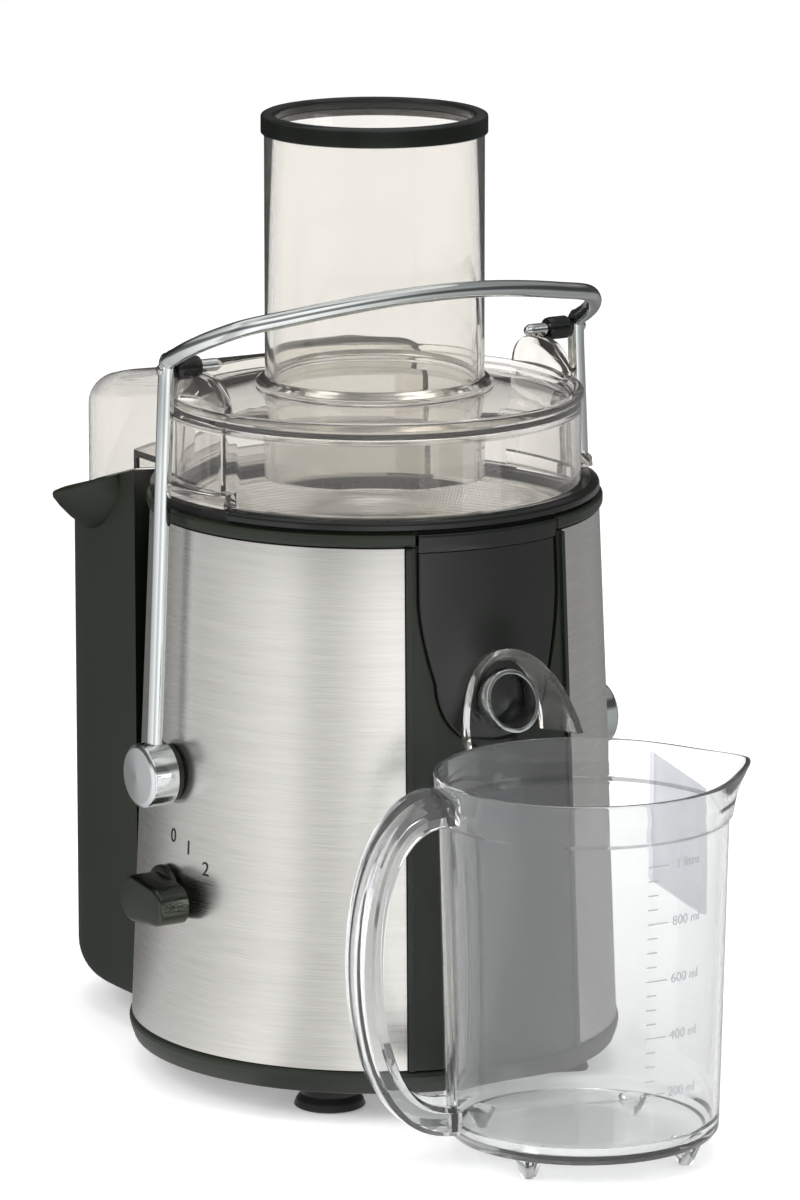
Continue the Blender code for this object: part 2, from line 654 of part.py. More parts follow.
def make_lid():
    outer, inner = LID_RADIUS, LID_RADIUS - LID_WALL
    hole = CHUTE_RADIUS + GAP
    lid = turned("lid", [(inner, LID_BOTTOM), (outer, LID_BOTTOM), (outer, LID_TOP - 1.2),
                         (outer - 1.2, LID_TOP), (outer - 3.0, LID_TOP - 0.2),
                         (outer - 4.2, PLATE_TOP_OUTER), (hole + 3, PLATE_TOP_INNER),
                         (hole, PLATE_TOP_INNER),
                         (hole, PLATE_TOP_INNER - LID_PLATE), (hole + 3, PLATE_TOP_INNER - LID_PLATE),
                         (outer - 4.4, PLATE_TOP_OUTER - LID_PLATE),
                         (inner, PLATE_TOP_OUTER - LID_PLATE - 2)], "clear", ring=True)
    wall_middle = outer - LID_WALL / 2
    upper = skin("hood_upper_tool", prism(d_outline(HOOD_HALF_WIDTH, HOOD_CENTRE_Y, wall_middle),
                                          LID_BOTTOM + GAP, hood_top), "clear")
    boolean(lid, upper, "UNION")
    skirt_inner = BIN_INNER_RADIUS + BIN_WALL + 0.6
    skirt = skin("hood_skirt_tool", prism(d_outline(HOOD_HALF_WIDTH, HOOD_CENTRE_Y, skirt_inner),
                                          lambda x, y: bin_rim(x, y) + 1.0, LID_BOTTOM + 2.0), "clear")
    boolean(lid, skirt, "UNION")
    room = HOOD_HALF_WIDTH - HOOD_WALL
    space = skin("hood_space_cutter", prism(d_outline(room, HOOD_CENTRE_Y, wall_middle + 0.6),
                                            LID_BOTTOM + GAP + HOOD_WALL,
                                            lambda x, y: hood_top(x, y) - HOOD_WALL), "clear")
    boolean(lid, space, "DIFFERENCE")
    chute = skin("hood_outlet_cutter", prism(d_outline(room, HOOD_CENTRE_Y, skirt_inner + HOOD_WALL),
                                             lambda x, y: bin_rim(x, y) - HOOD_DIP,
                                             LID_BOTTOM + 6.0), "clear")
    boolean(lid, chute, "DIFFERENCE")
    low_corner = (-WINDOW_HALF_WIDTH, LID_RADIUS - 34.9, LID_BOTTOM + GAP + HOOD_WALL)
    high_corner = (WINDOW_HALF_WIDTH, LID_RADIUS + 6.1, PLATE_TOP_OUTER - LID_PLATE - 3)
    window = skin("pulp_window_cutter", box_loops(low_corner, high_corner), "clear")
    boolean(lid, window, "DIFFERENCE")
    for side in (-1, 1):
        make_ear(lid, side)


def make_ear(lid, side):
    """Arched tab that the latch pin rests on, and the thick ledge at its foot."""
    x_out = side * (LID_RADIUS - EAR_INSET)
    x_in = side * (LID_RADIUS - EAR_INSET - EAR_THICKNESS)
    foot = LID_TOP - 8.0
    rise = EAR_TOP - foot
    outline = [(EAR_HALF_WIDTH, foot), (EAR_HALF_WIDTH, foot + 4)]
    for i in range(1, 12):
        angle = math.pi * i / 12
        outline.append((EAR_HALF_WIDTH * math.cos(angle), foot + 4 + (rise - 4) * math.sin(angle)))
    outline += [(-EAR_HALF_WIDTH, foot + 4), (-EAR_HALF_WIDTH, foot)]
    ear = skin("ear_tool_%d" % side, [[(x, y, z) for y, z in outline] for x in (x_in, x_out)], "clear")
    boolean(lid, ear, "UNION")
    ledge_section = [(LID_RADIUS - 1.0, LID_BOTTOM + 0.2), (BEZEL_RADIUS - 1.2, LID_BOTTOM + 0.2),
                     (BEZEL_RADIUS - 1.8, LID_BOTTOM + 4.8), (LID_RADIUS - 1.0, LID_BOTTOM + 5.6)]
    ledge = skin("ledge_tool_%d" % side, sector_loops(ledge_section, side * 90, 20, 8), "clear")
    boolean(lid, ledge, "UNION")


def make_chute():
    inner = CHUTE_RADIUS - CHUTE_WALL
    seat = PLATE_TOP_INNER + GAP
    bottom = PLATE_TOP_INNER - CHUTE_DIP
    turned("feed_chute", [(inner, bottom), (CHUTE_RADIUS, bottom), (CHUTE_RADIUS, seat),
                          (CHUTE_RADIUS + 3.2, seat), (CHUTE_RADIUS + 3.6, seat + 1.6),
                          (CHUTE_RADIUS + 1.6, seat + 3.4), (CHUTE_RADIUS, seat + 3.8),
                          (CHUTE_RADIUS, CHUTE_TOP), (inner, CHUTE_TOP)], "clear", ring=True)
    low = CHUTE_TOP + GAP
    top = low + CHUTE_RIM_HEIGHT
    turned("chute_rim", [(inner - 0.8, low), (CHUTE_RADIUS + GAP, low), (CHUTE_RADIUS + GAP, low - 3.4),
                         (CHUTE_RADIUS + 1.3, low - 3.4), (CHUTE_RADIUS + 1.3, top - 1.2),
                         (CHUTE_RADIUS + 0.4, top), (inner, top), (inner - 0.8, top - 0.8)],
           "gloss", ring=True)


# --- filter and drive ------------------------------------------------------
def make_filter():
    floor_radius = GRATER_RADIUS + 2.0
    hub_outer = COUPLING_RADIUS
    hub_inner = 5.6
    turned("filter_basket", [(hub_inner, BASKET_FLOOR), (floor_radius, BASKET_FLOOR),
                             (BASKET_RIM_RADIUS - BASKET_LIP, BASKET_TOP - BASKET_LIP),
                             (BASKET_RIM_RADIUS, BASKET_TOP - BASKET_LIP),
                             (BASKET_RIM_RADIUS, BASKET_TOP), (BASKET_RIM_RADIUS - 4.0, BASKET_TOP),
                             (floor_radius - 0.9, BASKET_FLOOR + BASKET_WALL),
                             (hub_outer, BASKET_FLOOR + BASKET_WALL),
                             (hub_outer, BASKET_FLOOR + 7), (hub_inner, BASKET_FLOOR + 7)],
           "steel", "spinner", ring=True)
    plate_low = BASKET_FLOOR + BASKET_WALL + GAP
    turned("grater_disc", [(hub_outer + GAP, plate_low), (GRATER_RADIUS, plate_low),
                           (GRATER_RADIUS, plate_low + GRATER_THICKNESS),
                           (hub_outer + GAP, plate_low + GRATER_THICKNESS)], "steel", "spinner", ring=True)
    coupling_low = DECK_TOP - COUPLING_DROP
    press = SHAFT_RADIUS + SHAFT_PRESS
    turned("drive_coupling", [(press, coupling_low), (COUPLING_RADIUS, coupling_low),
                              (COUPLING_RADIUS, BASKET_FLOOR - GAP), (5.2, BASKET_FLOOR - GAP),
                              (5.2, BASKET_FLOOR + 6), (4.4, BASKET_FLOOR + 6.5),
                              (press, BASKET_FLOOR + 6.5)],
           "black", "spinner", ring=True, sides=SMALL)
    turned("motor_shaft", [(SHAFT_RADIUS, SHAFT_BOTTOM), (SHAFT_RADIUS, BASKET_FLOOR + 5)],
           "iron", "spinner", sides=SMALL)


def make_motor():
    bore = SHAFT_RADIUS + SHAFT_PRESS
    winding = ARMATURE_RADIUS - WINDING_DEPTH
    flare = ARMATURE_RADIUS - 3.0
    half = WINDING_DEPTH / 2
    turned("armature_core", [(winding + GAP, ARMATURE_BOTTOM), (ARMATURE_RADIUS, ARMATURE_BOTTOM),
                             (ARMATURE_RADIUS, ARMATURE_TOP), (winding + GAP, ARMATURE_TOP)],
           "iron", "spinner", ring=True, sides=SMALL)
    low = ARMATURE_BOTTOM - WINDING_DEPTH
    top = ARMATURE_TOP + WINDING_DEPTH
    turned("armature_winding", [(bore, low), (winding, low), (flare, ARMATURE_BOTTOM - half),
                                (winding, ARMATURE_BOTTOM - GAP), (winding, ARMATURE_TOP + GAP),
                                (flare, ARMATURE_TOP + half), (winding, top), (bore, top)],
           "copper", "spinner", ring=True, sides=SMALL)
    turned("commutator", [(bore, COMMUTATOR_LOW), (COMMUTATOR_RADIUS, COMMUTATOR_LOW),
                          (COMMUTATOR_RADIUS, COMMUTATOR_HIGH), (bore, COMMUTATOR_HIGH)],
           "copper", "spinner", ring=True, sides=SMALL)
    fan_top = FAN_LOW + FAN_HUB_HEIGHT
    turned("cooling_fan", [(bore, FAN_LOW), (FAN_RADIUS, FAN_LOW), (FAN_RADIUS, FAN_LOW + 1.6),
                           (10, FAN_LOW + 2.4), (10, fan_top), (bore, fan_top)],
           "black", "spinner", ring=True, sides=SMALL)
    stator_bore = ARMATURE_RADIUS + AIR_GAP
    turned("stator_core", [(stator_bore, ARMATURE_BOTTOM), (STATOR_RADIUS, ARMATURE_BOTTOM),
                           (STATOR_RADIUS, ARMATURE_TOP), (stator_bore, ARMATURE_TOP)],
           "iron", ring=True, sides=SMALL)
    coil_outer = STATOR_RADIUS - COIL_INSET
    for name, low in (("lower", ARMATURE_BOTTOM - GAP - COIL_HEIGHT), ("upper", ARMATURE_TOP + GAP)):
        high = low + COIL_HEIGHT
        turned("field_coil_" + name, [(stator_bore + 2, low), (coil_outer, low), (coil_outer, high),
                                      (stator_bore + 2, high)], "copper", ring=True, sides=SMALL)
    seat = BEARING_RADIUS + GAP
    room = SHAFT_RADIUS + BEARING_ROOM
    for name, low in (("lower_bearing", LOWER_BEARING_Z), ("upper_bearing", UPPER_BEARING_Z)):
        high = low + BEARING_HEIGHT
        turned(name, [(room, low), (BEARING_RADIUS, low), (BEARING_RADIUS, high), (room, high)],
               "steel", ring=True, sides=SMALL)
    low = LOWER_BEARING_Z - BRACKET_PLATE
    turned("lower_motor_bracket", [(seat, low), (BRACKET_HUB, low), (BRACKET_HUB, low + 6),
                                   (BRACKET_RADIUS, low + 6), (BRACKET_RADIUS, low + 9.5),
                                   (seat, low + 9.5)],
           "alloy", ring=True, sides=SMALL)
    low = UPPER_BEARING_Z
    turned("upper_motor_bracket", [(seat, low), (BRACKET_RADIUS, low), (BRACKET_RADIUS, BRACKET_TOP),
                                   (BRACKET_HUB, BRACKET_TOP), (BRACKET_HUB, low + 10), (seat, low + 10)],
           "alloy", ring=True, sides=SMALL)
    brush_low = COMMUTATOR_LOW + 3.0
    for side, name in ((-1, "brush_left"), (1, "brush_right")):
        x_in, x_out = sorted((side * (COMMUTATOR_RADIUS + GAP), side * 30))
        skin(name, box_loops((x_in, -4, brush_low), (x_out, 4, brush_low + 8)), "carbon")
    mount_top = DECK_TOP - DECK_THICKNESS - GAP
    for i in range(4):
        waist = (BRACKET_TOP + mount_top) / 2
        turned("motor_mount_%d" % (i + 1), [(MOUNT_RADIUS, BRACKET_TOP + GAP), (MOUNT_RADIUS - 1.3, waist),
                                            (MOUNT_RADIUS, mount_top)],
               "rubber", sides=12, centre=polar(MOUNT_CIRCLE_RADIUS, 45 + 90 * i))


def make_controls():
    inside = -(housing_radius(KNOB_Z) - HOUSING_WALL)
    skin("rotary_switch", box_loops((inside + SWITCH_SETBACK, -11, KNOB_Z - 11),
                                    (inside + SWITCH_SETBACK + 18, 11, KNOB_Z + 11)), "black")
    skin("speed_board", box_loops((46, -24, 36), (47.6, 24, 96)), "board")
    skin("safety_switch", box_loops((inside + 4, -9, HINGE_Z - 18), (inside + 15, 9, HINGE_Z - 7)), "black")
    wall = math.sqrt(body_radius(GLAND_Z) ** 2 - GLAND_Y ** 2)
    turned("cord_gland", [(CORD_BORE, wall - 12), (GLAND_RADIUS, wall - 12),
                          (GLAND_RADIUS, wall + 4), (CORD_BORE, wall + 4)],
           "rubber", ring=True, sides=SMALL, centre=(GLAND_Y, GLAND_Z), axis="X", start=CUTTER_START)


def make_knob():
    face = -(body_radius(KNOB_Z) + 1.0)
    lever_in = face - KNOB_COLLAR_DEPTH
    lever_out = lever_in - KNOB_DEPTH
    lever = turned("speed_knob", [(KNOB_COLLAR_RADIUS, face), (KNOB_COLLAR_RADIUS, lever_in - 0.8)],
                   "smoke", "knob", sides=SMALL, centre=(0, KNOB_Z), axis="X")

    def outline(shrink):
        points = []
        for i in range(15):
            angle = math.radians(-90 + 180 * i / 14)
            points.append(((KNOB_HUB_RADIUS - shrink) * math.cos(angle),
                           KNOB_Z + (KNOB_HUB_RADIUS - shrink) * math.sin(angle)))
        for i in range(9):
            angle = math.radians(90 + 180 * i / 8)
            points.append((-KNOB_REACH + (KNOB_TIP_RADIUS - shrink) * math.cos(angle),
                           KNOB_Z + (KNOB_TIP_RADIUS - shrink) * math.sin(angle)))
        return points

    loops = [[(x, y, z) for y, z in outline(shrink)]
             for x, shrink in ((lever_in, 0), (lever_out + 2, 0), (lever_out, 1.8))]
    grip = skin("knob_grip_tool", loops, "smoke", "knob")
    boolean(lever, grip, "UNION")
    spindle_end = -(housing_radius(KNOB_Z) - HOUSING_WALL) + SWITCH_SETBACK - GAP
    spindle = turned("knob_spindle_tool", [(KNOB_SPINDLE_RADIUS, face - 1),
                                           (KNOB_SPINDLE_RADIUS, spindle_end)],
                     "smoke", "knob", sides=16, centre=(0, KNOB_Z), axis="X")
    boolean(lever, spindle, "UNION")


# --- bail latch ------------------------------------------------------------
def bow_plan():
    """Right half of the bail's path, from the cap up the arm to the middle of the bow."""
    bend_z = PIN_Z + 5.0
    path = [Vector((ARM_X_BOTTOM, 0, HINGE_Z + CAP_RADIUS + GAP)), Vector((ARM_X_TOP, 0, bend_z - 6))]
    corner = [(ARM_X_TOP - 0.1, 2.2), (ARM_X_TOP - 0.6, 8.0), (ARM_X_TOP - 2.5, 15.5),
              (ARM_X_TOP - 7.5, 24.0), (ARM_X_TOP - 16.0, 32.0)]
    for x, reach in corner:
        path.append(Vector((x, -reach, bend_z - 2.5 + BOW_CLIMB * reach)))
    last_x, last_reach = corner[-1]
    for i in range(1, 6):
        share = i / 5
        reach = last_reach + (BOW_REACH - last_reach) * math.sin(share * math.pi / 2)
        path.append(Vector((last_x * (1 - share), -reach, bend_z - 2.5 + BOW_CLIMB * reach)))
    return path


def make_bail():
    right = bow_plan()
    left = [Vector((-p.x, p.y, p.z)) for p in right[:-1]]
    path = left + right[::-1]
    skin("bail_rod", swept(path, round_section(ROD_RADIUS, 12)), "chrome", "bail", sharp=60)
    inner_x = ARM_X_TOP - ROD_RADIUS - 0.5
    sleeve_end = LID_RADIUS - EAR_INSET + SLEEVE_ROOM
    hinge_face = body_radius(HINGE_Z) + 0.4
    for side, word in ((-1, "left"), (1, "right")):
        turned("hinge_washer_" + word, [(4.0, side * hinge_face), (WASHER_RADIUS, side * hinge_face),
                                        (WASHER_RADIUS, side * (hinge_face + WASHER_DEPTH)),
                                        (4.0, side * (hinge_face + WASHER_DEPTH))],
               "black", ring=True, sides=SMALL, centre=(0, HINGE_Z), axis="X")
        cap_in = hinge_face + WASHER_DEPTH + GAP
        cap_out = ARM_X_BOTTOM + ROD_RADIUS + 4.2
        turned("hinge_cap_" + word, [(4.0, side * cap_in), (CAP_RADIUS, side * cap_in),
                                     (CAP_RADIUS, side * (cap_out - 0.8)),
                                     (CAP_RADIUS - 0.8, side * cap_out),
                                     (4.0, side * cap_out)],
               "chrome", "bail", ring=True, sides=28, centre=(0, HINGE_Z), axis="X")
        turned("hinge_bolt_" + word, [(BOLT_RADIUS, side * (hinge_face - 12)),
                                      (BOLT_RADIUS, side * (cap_out - 1.2))],
               "steel", sides=16, centre=(0, HINGE_Z), axis="X")
        turned("latch_sleeve_" + word, [(SLEEVE_RADIUS, side * sleeve_end), (SLEEVE_RADIUS, side * inner_x)],
               "rubber", "bail", sides=16, centre=(0, PIN_Z), axis="X")
        turned("latch_pin_" + word, [(PIN_RADIUS, side * PIN_TIP_X),
                                     (PIN_RADIUS, side * (sleeve_end - GAP))],
               "chrome", "bail", sides=16, centre=(0, PIN_Z), axis="X")


# --- pulp container --------------------------------------------------------
def make_bin():
    def shifted(outline_radius, inner_radius, low, high):
        outline = d_outline(outline_radius, BIN_CENTRE_Y, inner_radius)
        return prism(outline, low, high)

    def corner(inset, z):
        outline = d_outline(BIN_RADIUS - inset, BIN_CENTRE_Y, BIN_INNER_RADIUS)
        return [(x, y, z) for x, y in outline]

    outer = []
    for i in range(5):
        angle = math.radians(90 * i / 4)
        inset = BIN_CORNER * (1 - math.sin(angle)) * 0.55
        outer.append(corner(inset, BIN_BOTTOM + BIN_CORNER * (1 - math.cos(angle))))
    outer.append(shifted(BIN_RADIUS, BIN_INNER_RADIUS, 0, bin_rim)[1])
    room = shifted(BIN_RADIUS - BIN_WALL, BIN_INNER_RADIUS + BIN_WALL, 0, bin_rim)[1]
    floor = [(x, y, BIN_BOTTOM + BIN_CORNER) for x, y, z in room]
    low_floor = d_outline(BIN_RADIUS - BIN_WALL - BIN_CORNER * 0.5, BIN_CENTRE_Y,
                          BIN_INNER_RADIUS + BIN_WALL)
    lowest = [(x, y, BIN_BOTTOM + BIN_WALL) for x, y in low_floor]
    container = skin("pulp_container", outer + [room, floor, lowest], "black", "bin")
    for side in (-1, 1):
        x0 = side * (BIN_RADIUS - BIN_WALL + 0.4)
        x1 = side * (BIN_RADIUS + BIN_GRIP_REACH)
        rim = bin_rim(0, BIN_CENTRE_Y)
        loops = []
        for y in (BIN_CENTRE_Y - BIN_GRIP_HALF, BIN_CENTRE_Y + BIN_GRIP_HALF):
            lift = -BIN_RIM_SLOPE * (y - BIN_CENTRE_Y)
            loops.append([(x0, y, rim + lift), (x1, y, rim + lift - 3), (x1, y, rim + lift - 6.5),
                          (x0, y, rim + lift - BIN_GRIP_DROP)])
        grip = skin("bin_grip_tool_%d" % side, loops, "black", "bin")
        boolean(container, grip, "UNION")


# --- juice jug -------------------------------------------------------------
def jug_point(radius, bearing, z):
    """A point about the jug's axis; bearing 0 is the lip."""
    angle = math.radians(bearing + JUG_TURN)
    return radius * math.cos(angle), JUG_Y + radius * math.sin(angle), z


def jug_loop(radius, z, lip):
    """One ring of the jug wall; lip is how far the pouring lip pushes it out."""
    points = []
    for i in range(BIG):
        bearing = 360 * i / BIG
        off = min(bearing, 360 - bearing)
        bulge = lip * math.exp(-(off / 17.0) ** 1.5)
        points.append(jug_point(radius + bulge, bearing, z))
    return points


def make_jug():
    collar = JUG_RIM_Z - JUG_COLLAR_DROP
    low = JUG_FOOT_HEIGHT
    lip = JUG_LIP_REACH - JUG_RIM_RADIUS
    wall = JUG_WALL
    outer = [(JUG_RADIUS_BOTTOM - 1.5, low, 0), (JUG_RADIUS_BOTTOM, low + 2.0, 0),
             (JUG_RADIUS_TOP - 0.2, collar - 1.2, 0), (JUG_RIM_RADIUS - 0.6, collar, lip * 0.1),
             (JUG_RIM_RADIUS - 0.6, collar + 7, lip * 0.5), (JUG_RIM_RADIUS, JUG_RIM_Z - 1.0, lip),
             (JUG_RIM_RADIUS - 0.6, JUG_RIM_Z, lip)]
    inner = [(JUG_RIM_RADIUS - wall, JUG_RIM_Z, lip), (JUG_RIM_RADIUS - 0.6 - wall, collar + 6, lip * 0.4),
             (JUG_RADIUS_TOP - wall, collar - 2, 0), (JUG_RADIUS_BOTTOM + 0.2 - wall, low + 6, 0),
             (JUG_RADIUS_BOTTOM - 3.5 - wall, low + wall + 0.4, 0)]
    jug = skin("juice_jug", [jug_loop(*row) for row in outer + inner], "clear", "jug")
    for i in range(4):
        x, y, z = jug_point(JUG_RADIUS_BOTTOM - 8.0, 45 + 90 * i, 0)
        foot = turned("jug_foot_tool_%d" % i, [(2.6, 0), (6.0, low + 0.8)], "clear", "jug",
                      sides=12, centre=(x, y))
        boolean(jug, foot, "UNION")
    handle = skin("handle_tool", handle_loops(), "clear", "jug")
    boolean(jug, handle, "UNION")


def handle_loops():
    """A flat curved grip from the rim to near the base, opposite the lip."""
    top_z, low_z = JUG_RIM_Z - 9.0, JUG_FOOT_HEIGHT + 9.0
    middle_z = (top_z + low_z) / 2
    height = (top_z - low_z) / 2
    root = JUG_RADIUS_BOTTOM - 0.6
    reach = HANDLE_REACH - HANDLE_THICKNESS / 2 - root
    loops = []
    steps = 18
    for i in range(steps + 1):
        angle = math.radians(90 - 180 * i / steps)
        r = root + reach * max(math.cos(angle), 0.0) ** 0.8
        z = middle_z + height * math.sin(angle)
        out, up = math.cos(angle), math.sin(angle)
        loop = []
        for across, thick in ((-1, -1), (1, -1), (1, 1), (-1, 1)):
            w = HANDLE_WIDTH / 2 * across
            t = HANDLE_THICKNESS / 2 * thick
            radius = r + t * out
            bearing = 180 + math.degrees(w / max(radius, 1.0))
            loop.append(jug_point(math.hypot(radius, w), bearing, z + t * up))
        loops.append(loop)
    return loops


def make_separator():
    """Flat plate that hangs across the jug's mouth and holds the froth back."""
    inner = JUG_RADIUS_BOTTOM + 0.2 - JUG_WALL - 1.0
    half = math.sqrt(inner ** 2 - (SEPARATOR_OFFSET + SEPARATOR_THICKNESS) ** 2)
    top = JUG_RIM_Z - 2.0
    outline = [(half, top), (-half, top)]
    for i in range(9):
        share = -1 + 2 * i / 8
        outline.append((half * share, top - SEPARATOR_DEPTH + SEPARATOR_RISE * share ** 4))
    loops = []
    for along in (0.0, SEPARATOR_THICKNESS):
        offset = SEPARATOR_OFFSET + along
        loops.append([jug_point(math.hypot(offset, across), math.degrees(math.atan2(across, offset)), z)
                      for across, z in outline])
    skin("froth_separator", loops, "clear", "jug")


make_feet()
make_base()
make_screws()
make_housing()
make_jacket()
make_column()
make_bezel()
make_bowl()
make_spout()
make_lid()
make_chute()
make_filter()
make_motor()
make_controls()
make_knob()
make_bail()
make_bin()
make_jug()
make_separator()
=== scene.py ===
# %% [markdown]
# # A centrifugal juicer
#
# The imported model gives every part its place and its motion. This notebook gives each
# part the surface of the real one: turned, bent and moulded shapes with the small radii
# that a mould or a press leaves, and procedural finishes for steel, chrome, clear SAN
# plastic, black ABS and rubber.

# %% Load the frame
import json
import math

import bmesh
import bpy
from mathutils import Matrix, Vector


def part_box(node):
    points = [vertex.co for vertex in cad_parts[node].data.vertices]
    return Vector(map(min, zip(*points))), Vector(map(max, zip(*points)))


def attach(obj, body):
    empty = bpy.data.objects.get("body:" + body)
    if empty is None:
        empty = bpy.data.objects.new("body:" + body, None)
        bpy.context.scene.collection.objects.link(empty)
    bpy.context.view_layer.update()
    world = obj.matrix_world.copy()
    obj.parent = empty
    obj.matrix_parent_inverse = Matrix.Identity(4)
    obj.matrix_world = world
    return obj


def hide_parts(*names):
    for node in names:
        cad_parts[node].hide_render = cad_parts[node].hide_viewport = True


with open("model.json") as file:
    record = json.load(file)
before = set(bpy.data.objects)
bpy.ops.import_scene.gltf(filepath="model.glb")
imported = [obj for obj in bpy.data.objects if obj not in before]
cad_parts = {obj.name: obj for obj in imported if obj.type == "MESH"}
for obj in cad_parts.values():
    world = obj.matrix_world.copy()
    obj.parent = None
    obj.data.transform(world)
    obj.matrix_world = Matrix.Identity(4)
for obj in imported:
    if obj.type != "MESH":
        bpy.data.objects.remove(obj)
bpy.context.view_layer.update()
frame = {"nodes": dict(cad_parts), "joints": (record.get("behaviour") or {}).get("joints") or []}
NODES = frame["nodes"]
JOINTS = {joint["name"]: joint for joint in frame["joints"]}

# %% [markdown]
# ## Measures taken from the frame
#
# Everything turned is centred on the spindle, so its place is read from the spinning
# joint. A node's radius at a height is read from its own corners.

# %% Measures
MM = 0.001
SPINDLE = Vector(JOINTS["basket_spin"]["pos_m"])
HINGE = Vector(JOINTS["bail_swing"]["pos_m"])
KNOB = Vector(JOINTS["knob_turn"]["pos_m"])
CENTRE = (SPINDLE.x, SPINDLE.y)


def span(node):
    """A node's box as (low, high), in metres."""
    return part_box(node)


def radius_near(node, z, reach=1.5 * MM, centre=CENTRE, pick=max):
    """How far a node's corners near one height stand from an upright axis."""
    far = [math.hypot(v.co.x - centre[0], v.co.y - centre[1]) for v in NODES[node].data.vertices
           if abs(v.co.z - z) < reach]
    return pick(far)


BIN_HUG = 0.0966 + 0.0016  # the base ring's radius and the gap to the container
BIN_WALL = 0.0022
BIN_SIDE_GAP = 0.0006
jacket_low, jacket_high = span("steel_jacket")
JACKET_BOTTOM = jacket_low.z
JACKET_TOP = jacket_high.z
R_BOTTOM = radius_near("steel_jacket", JACKET_BOTTOM)
R_TOP = radius_near("steel_jacket", JACKET_TOP)


def body_radius(z):
    """Outside of the steel jacket at a height."""
    share = (z - JACKET_BOTTOM) / (JACKET_TOP - JACKET_BOTTOM)
    return R_BOTTOM + (R_TOP - R_BOTTOM) * share


print("jacket radius, mm: %.1f at the foot, %.1f at the bezel" % (R_BOTTOM / MM, R_TOP / MM))

# %% [markdown]
# ## Colours and the one node helper
#
# Colours are written as the sRGB hex values a designer would pick from a swatch, and
# `linear` turns them into the numbers that the shader needs. `add` puts one node in a
# tree, with its settings and links, and that is all the machinery the finishes need.

# %% Colour and node helpers
def linear(hex_colour):
    """sRGB hex text to linear RGBA."""
    channels = [int(hex_colour[i:i + 2], 16) / 255 for i in (1, 3, 5)]
    return [c / 12.92 if c <= 0.04045 else ((c + 0.055) / 1.055) ** 2.4 for c in channels] + [1.0]


def add(tree, kind, settings=None, **inputs):
    """Adds a node; inputs are values or (node, output) pairs, named by socket."""
    node = tree.nodes.new(kind)
    for key, value in (settings or {}).items():
        setattr(node, key, value)
    for key, value in inputs.items():
        socket = node.inputs[int(key[1:])] if key[0] == "_" else node.inputs[key.replace("_", " ")]
        if isinstance(value, tuple) and hasattr(value[0], "outputs"):
            tree.links.new(value[0].outputs[value[1]], socket)
        else:
            socket.default_value = value
    return node


def blank(name):
    """A new material with a Principled shader: returns material, tree and shader."""
    material = bpy.data.materials.new(name)
    material.use_nodes = True
    tree = material.node_tree
    return material, tree, tree.nodes["Principled BSDF"]


def set_shader(shader, **values):
    for key, value in values.items():
        shader.inputs[key.replace("_", " ")].default_value = value


def ramp(tree, factor, stops):
    """A colour ramp from (position, hex) stops."""
    node = add(tree, "ShaderNodeValToRGB", Fac=factor)
    elements = node.color_ramp.elements
    elements[0].position, elements[0].color = stops[0][0], linear(stops[0][1])
    elements[1].position, elements[1].color = stops[-1][0], linear(stops[-1][1])
    for position, colour in stops[1:-1]:
        elements.new(position).color = linear(colour)
    return node


print("helpers ready")

# %% [markdown]
# ## Brushed stainless sheet
#
# The jacket is rolled from 18/8 stainless that an abrasive belt has brushed. The belt
# leaves fine scratches that run round the body. Each scratch is a few hundredths of a
# millimetre wide, too fine to draw, so the pattern here is drawn at 0.3 mm. The eye sees
# two things: faint lines running round, and highlights that smear upright, across the
# grain. The first is a stretched noise, the second is the shader's anisotropy.

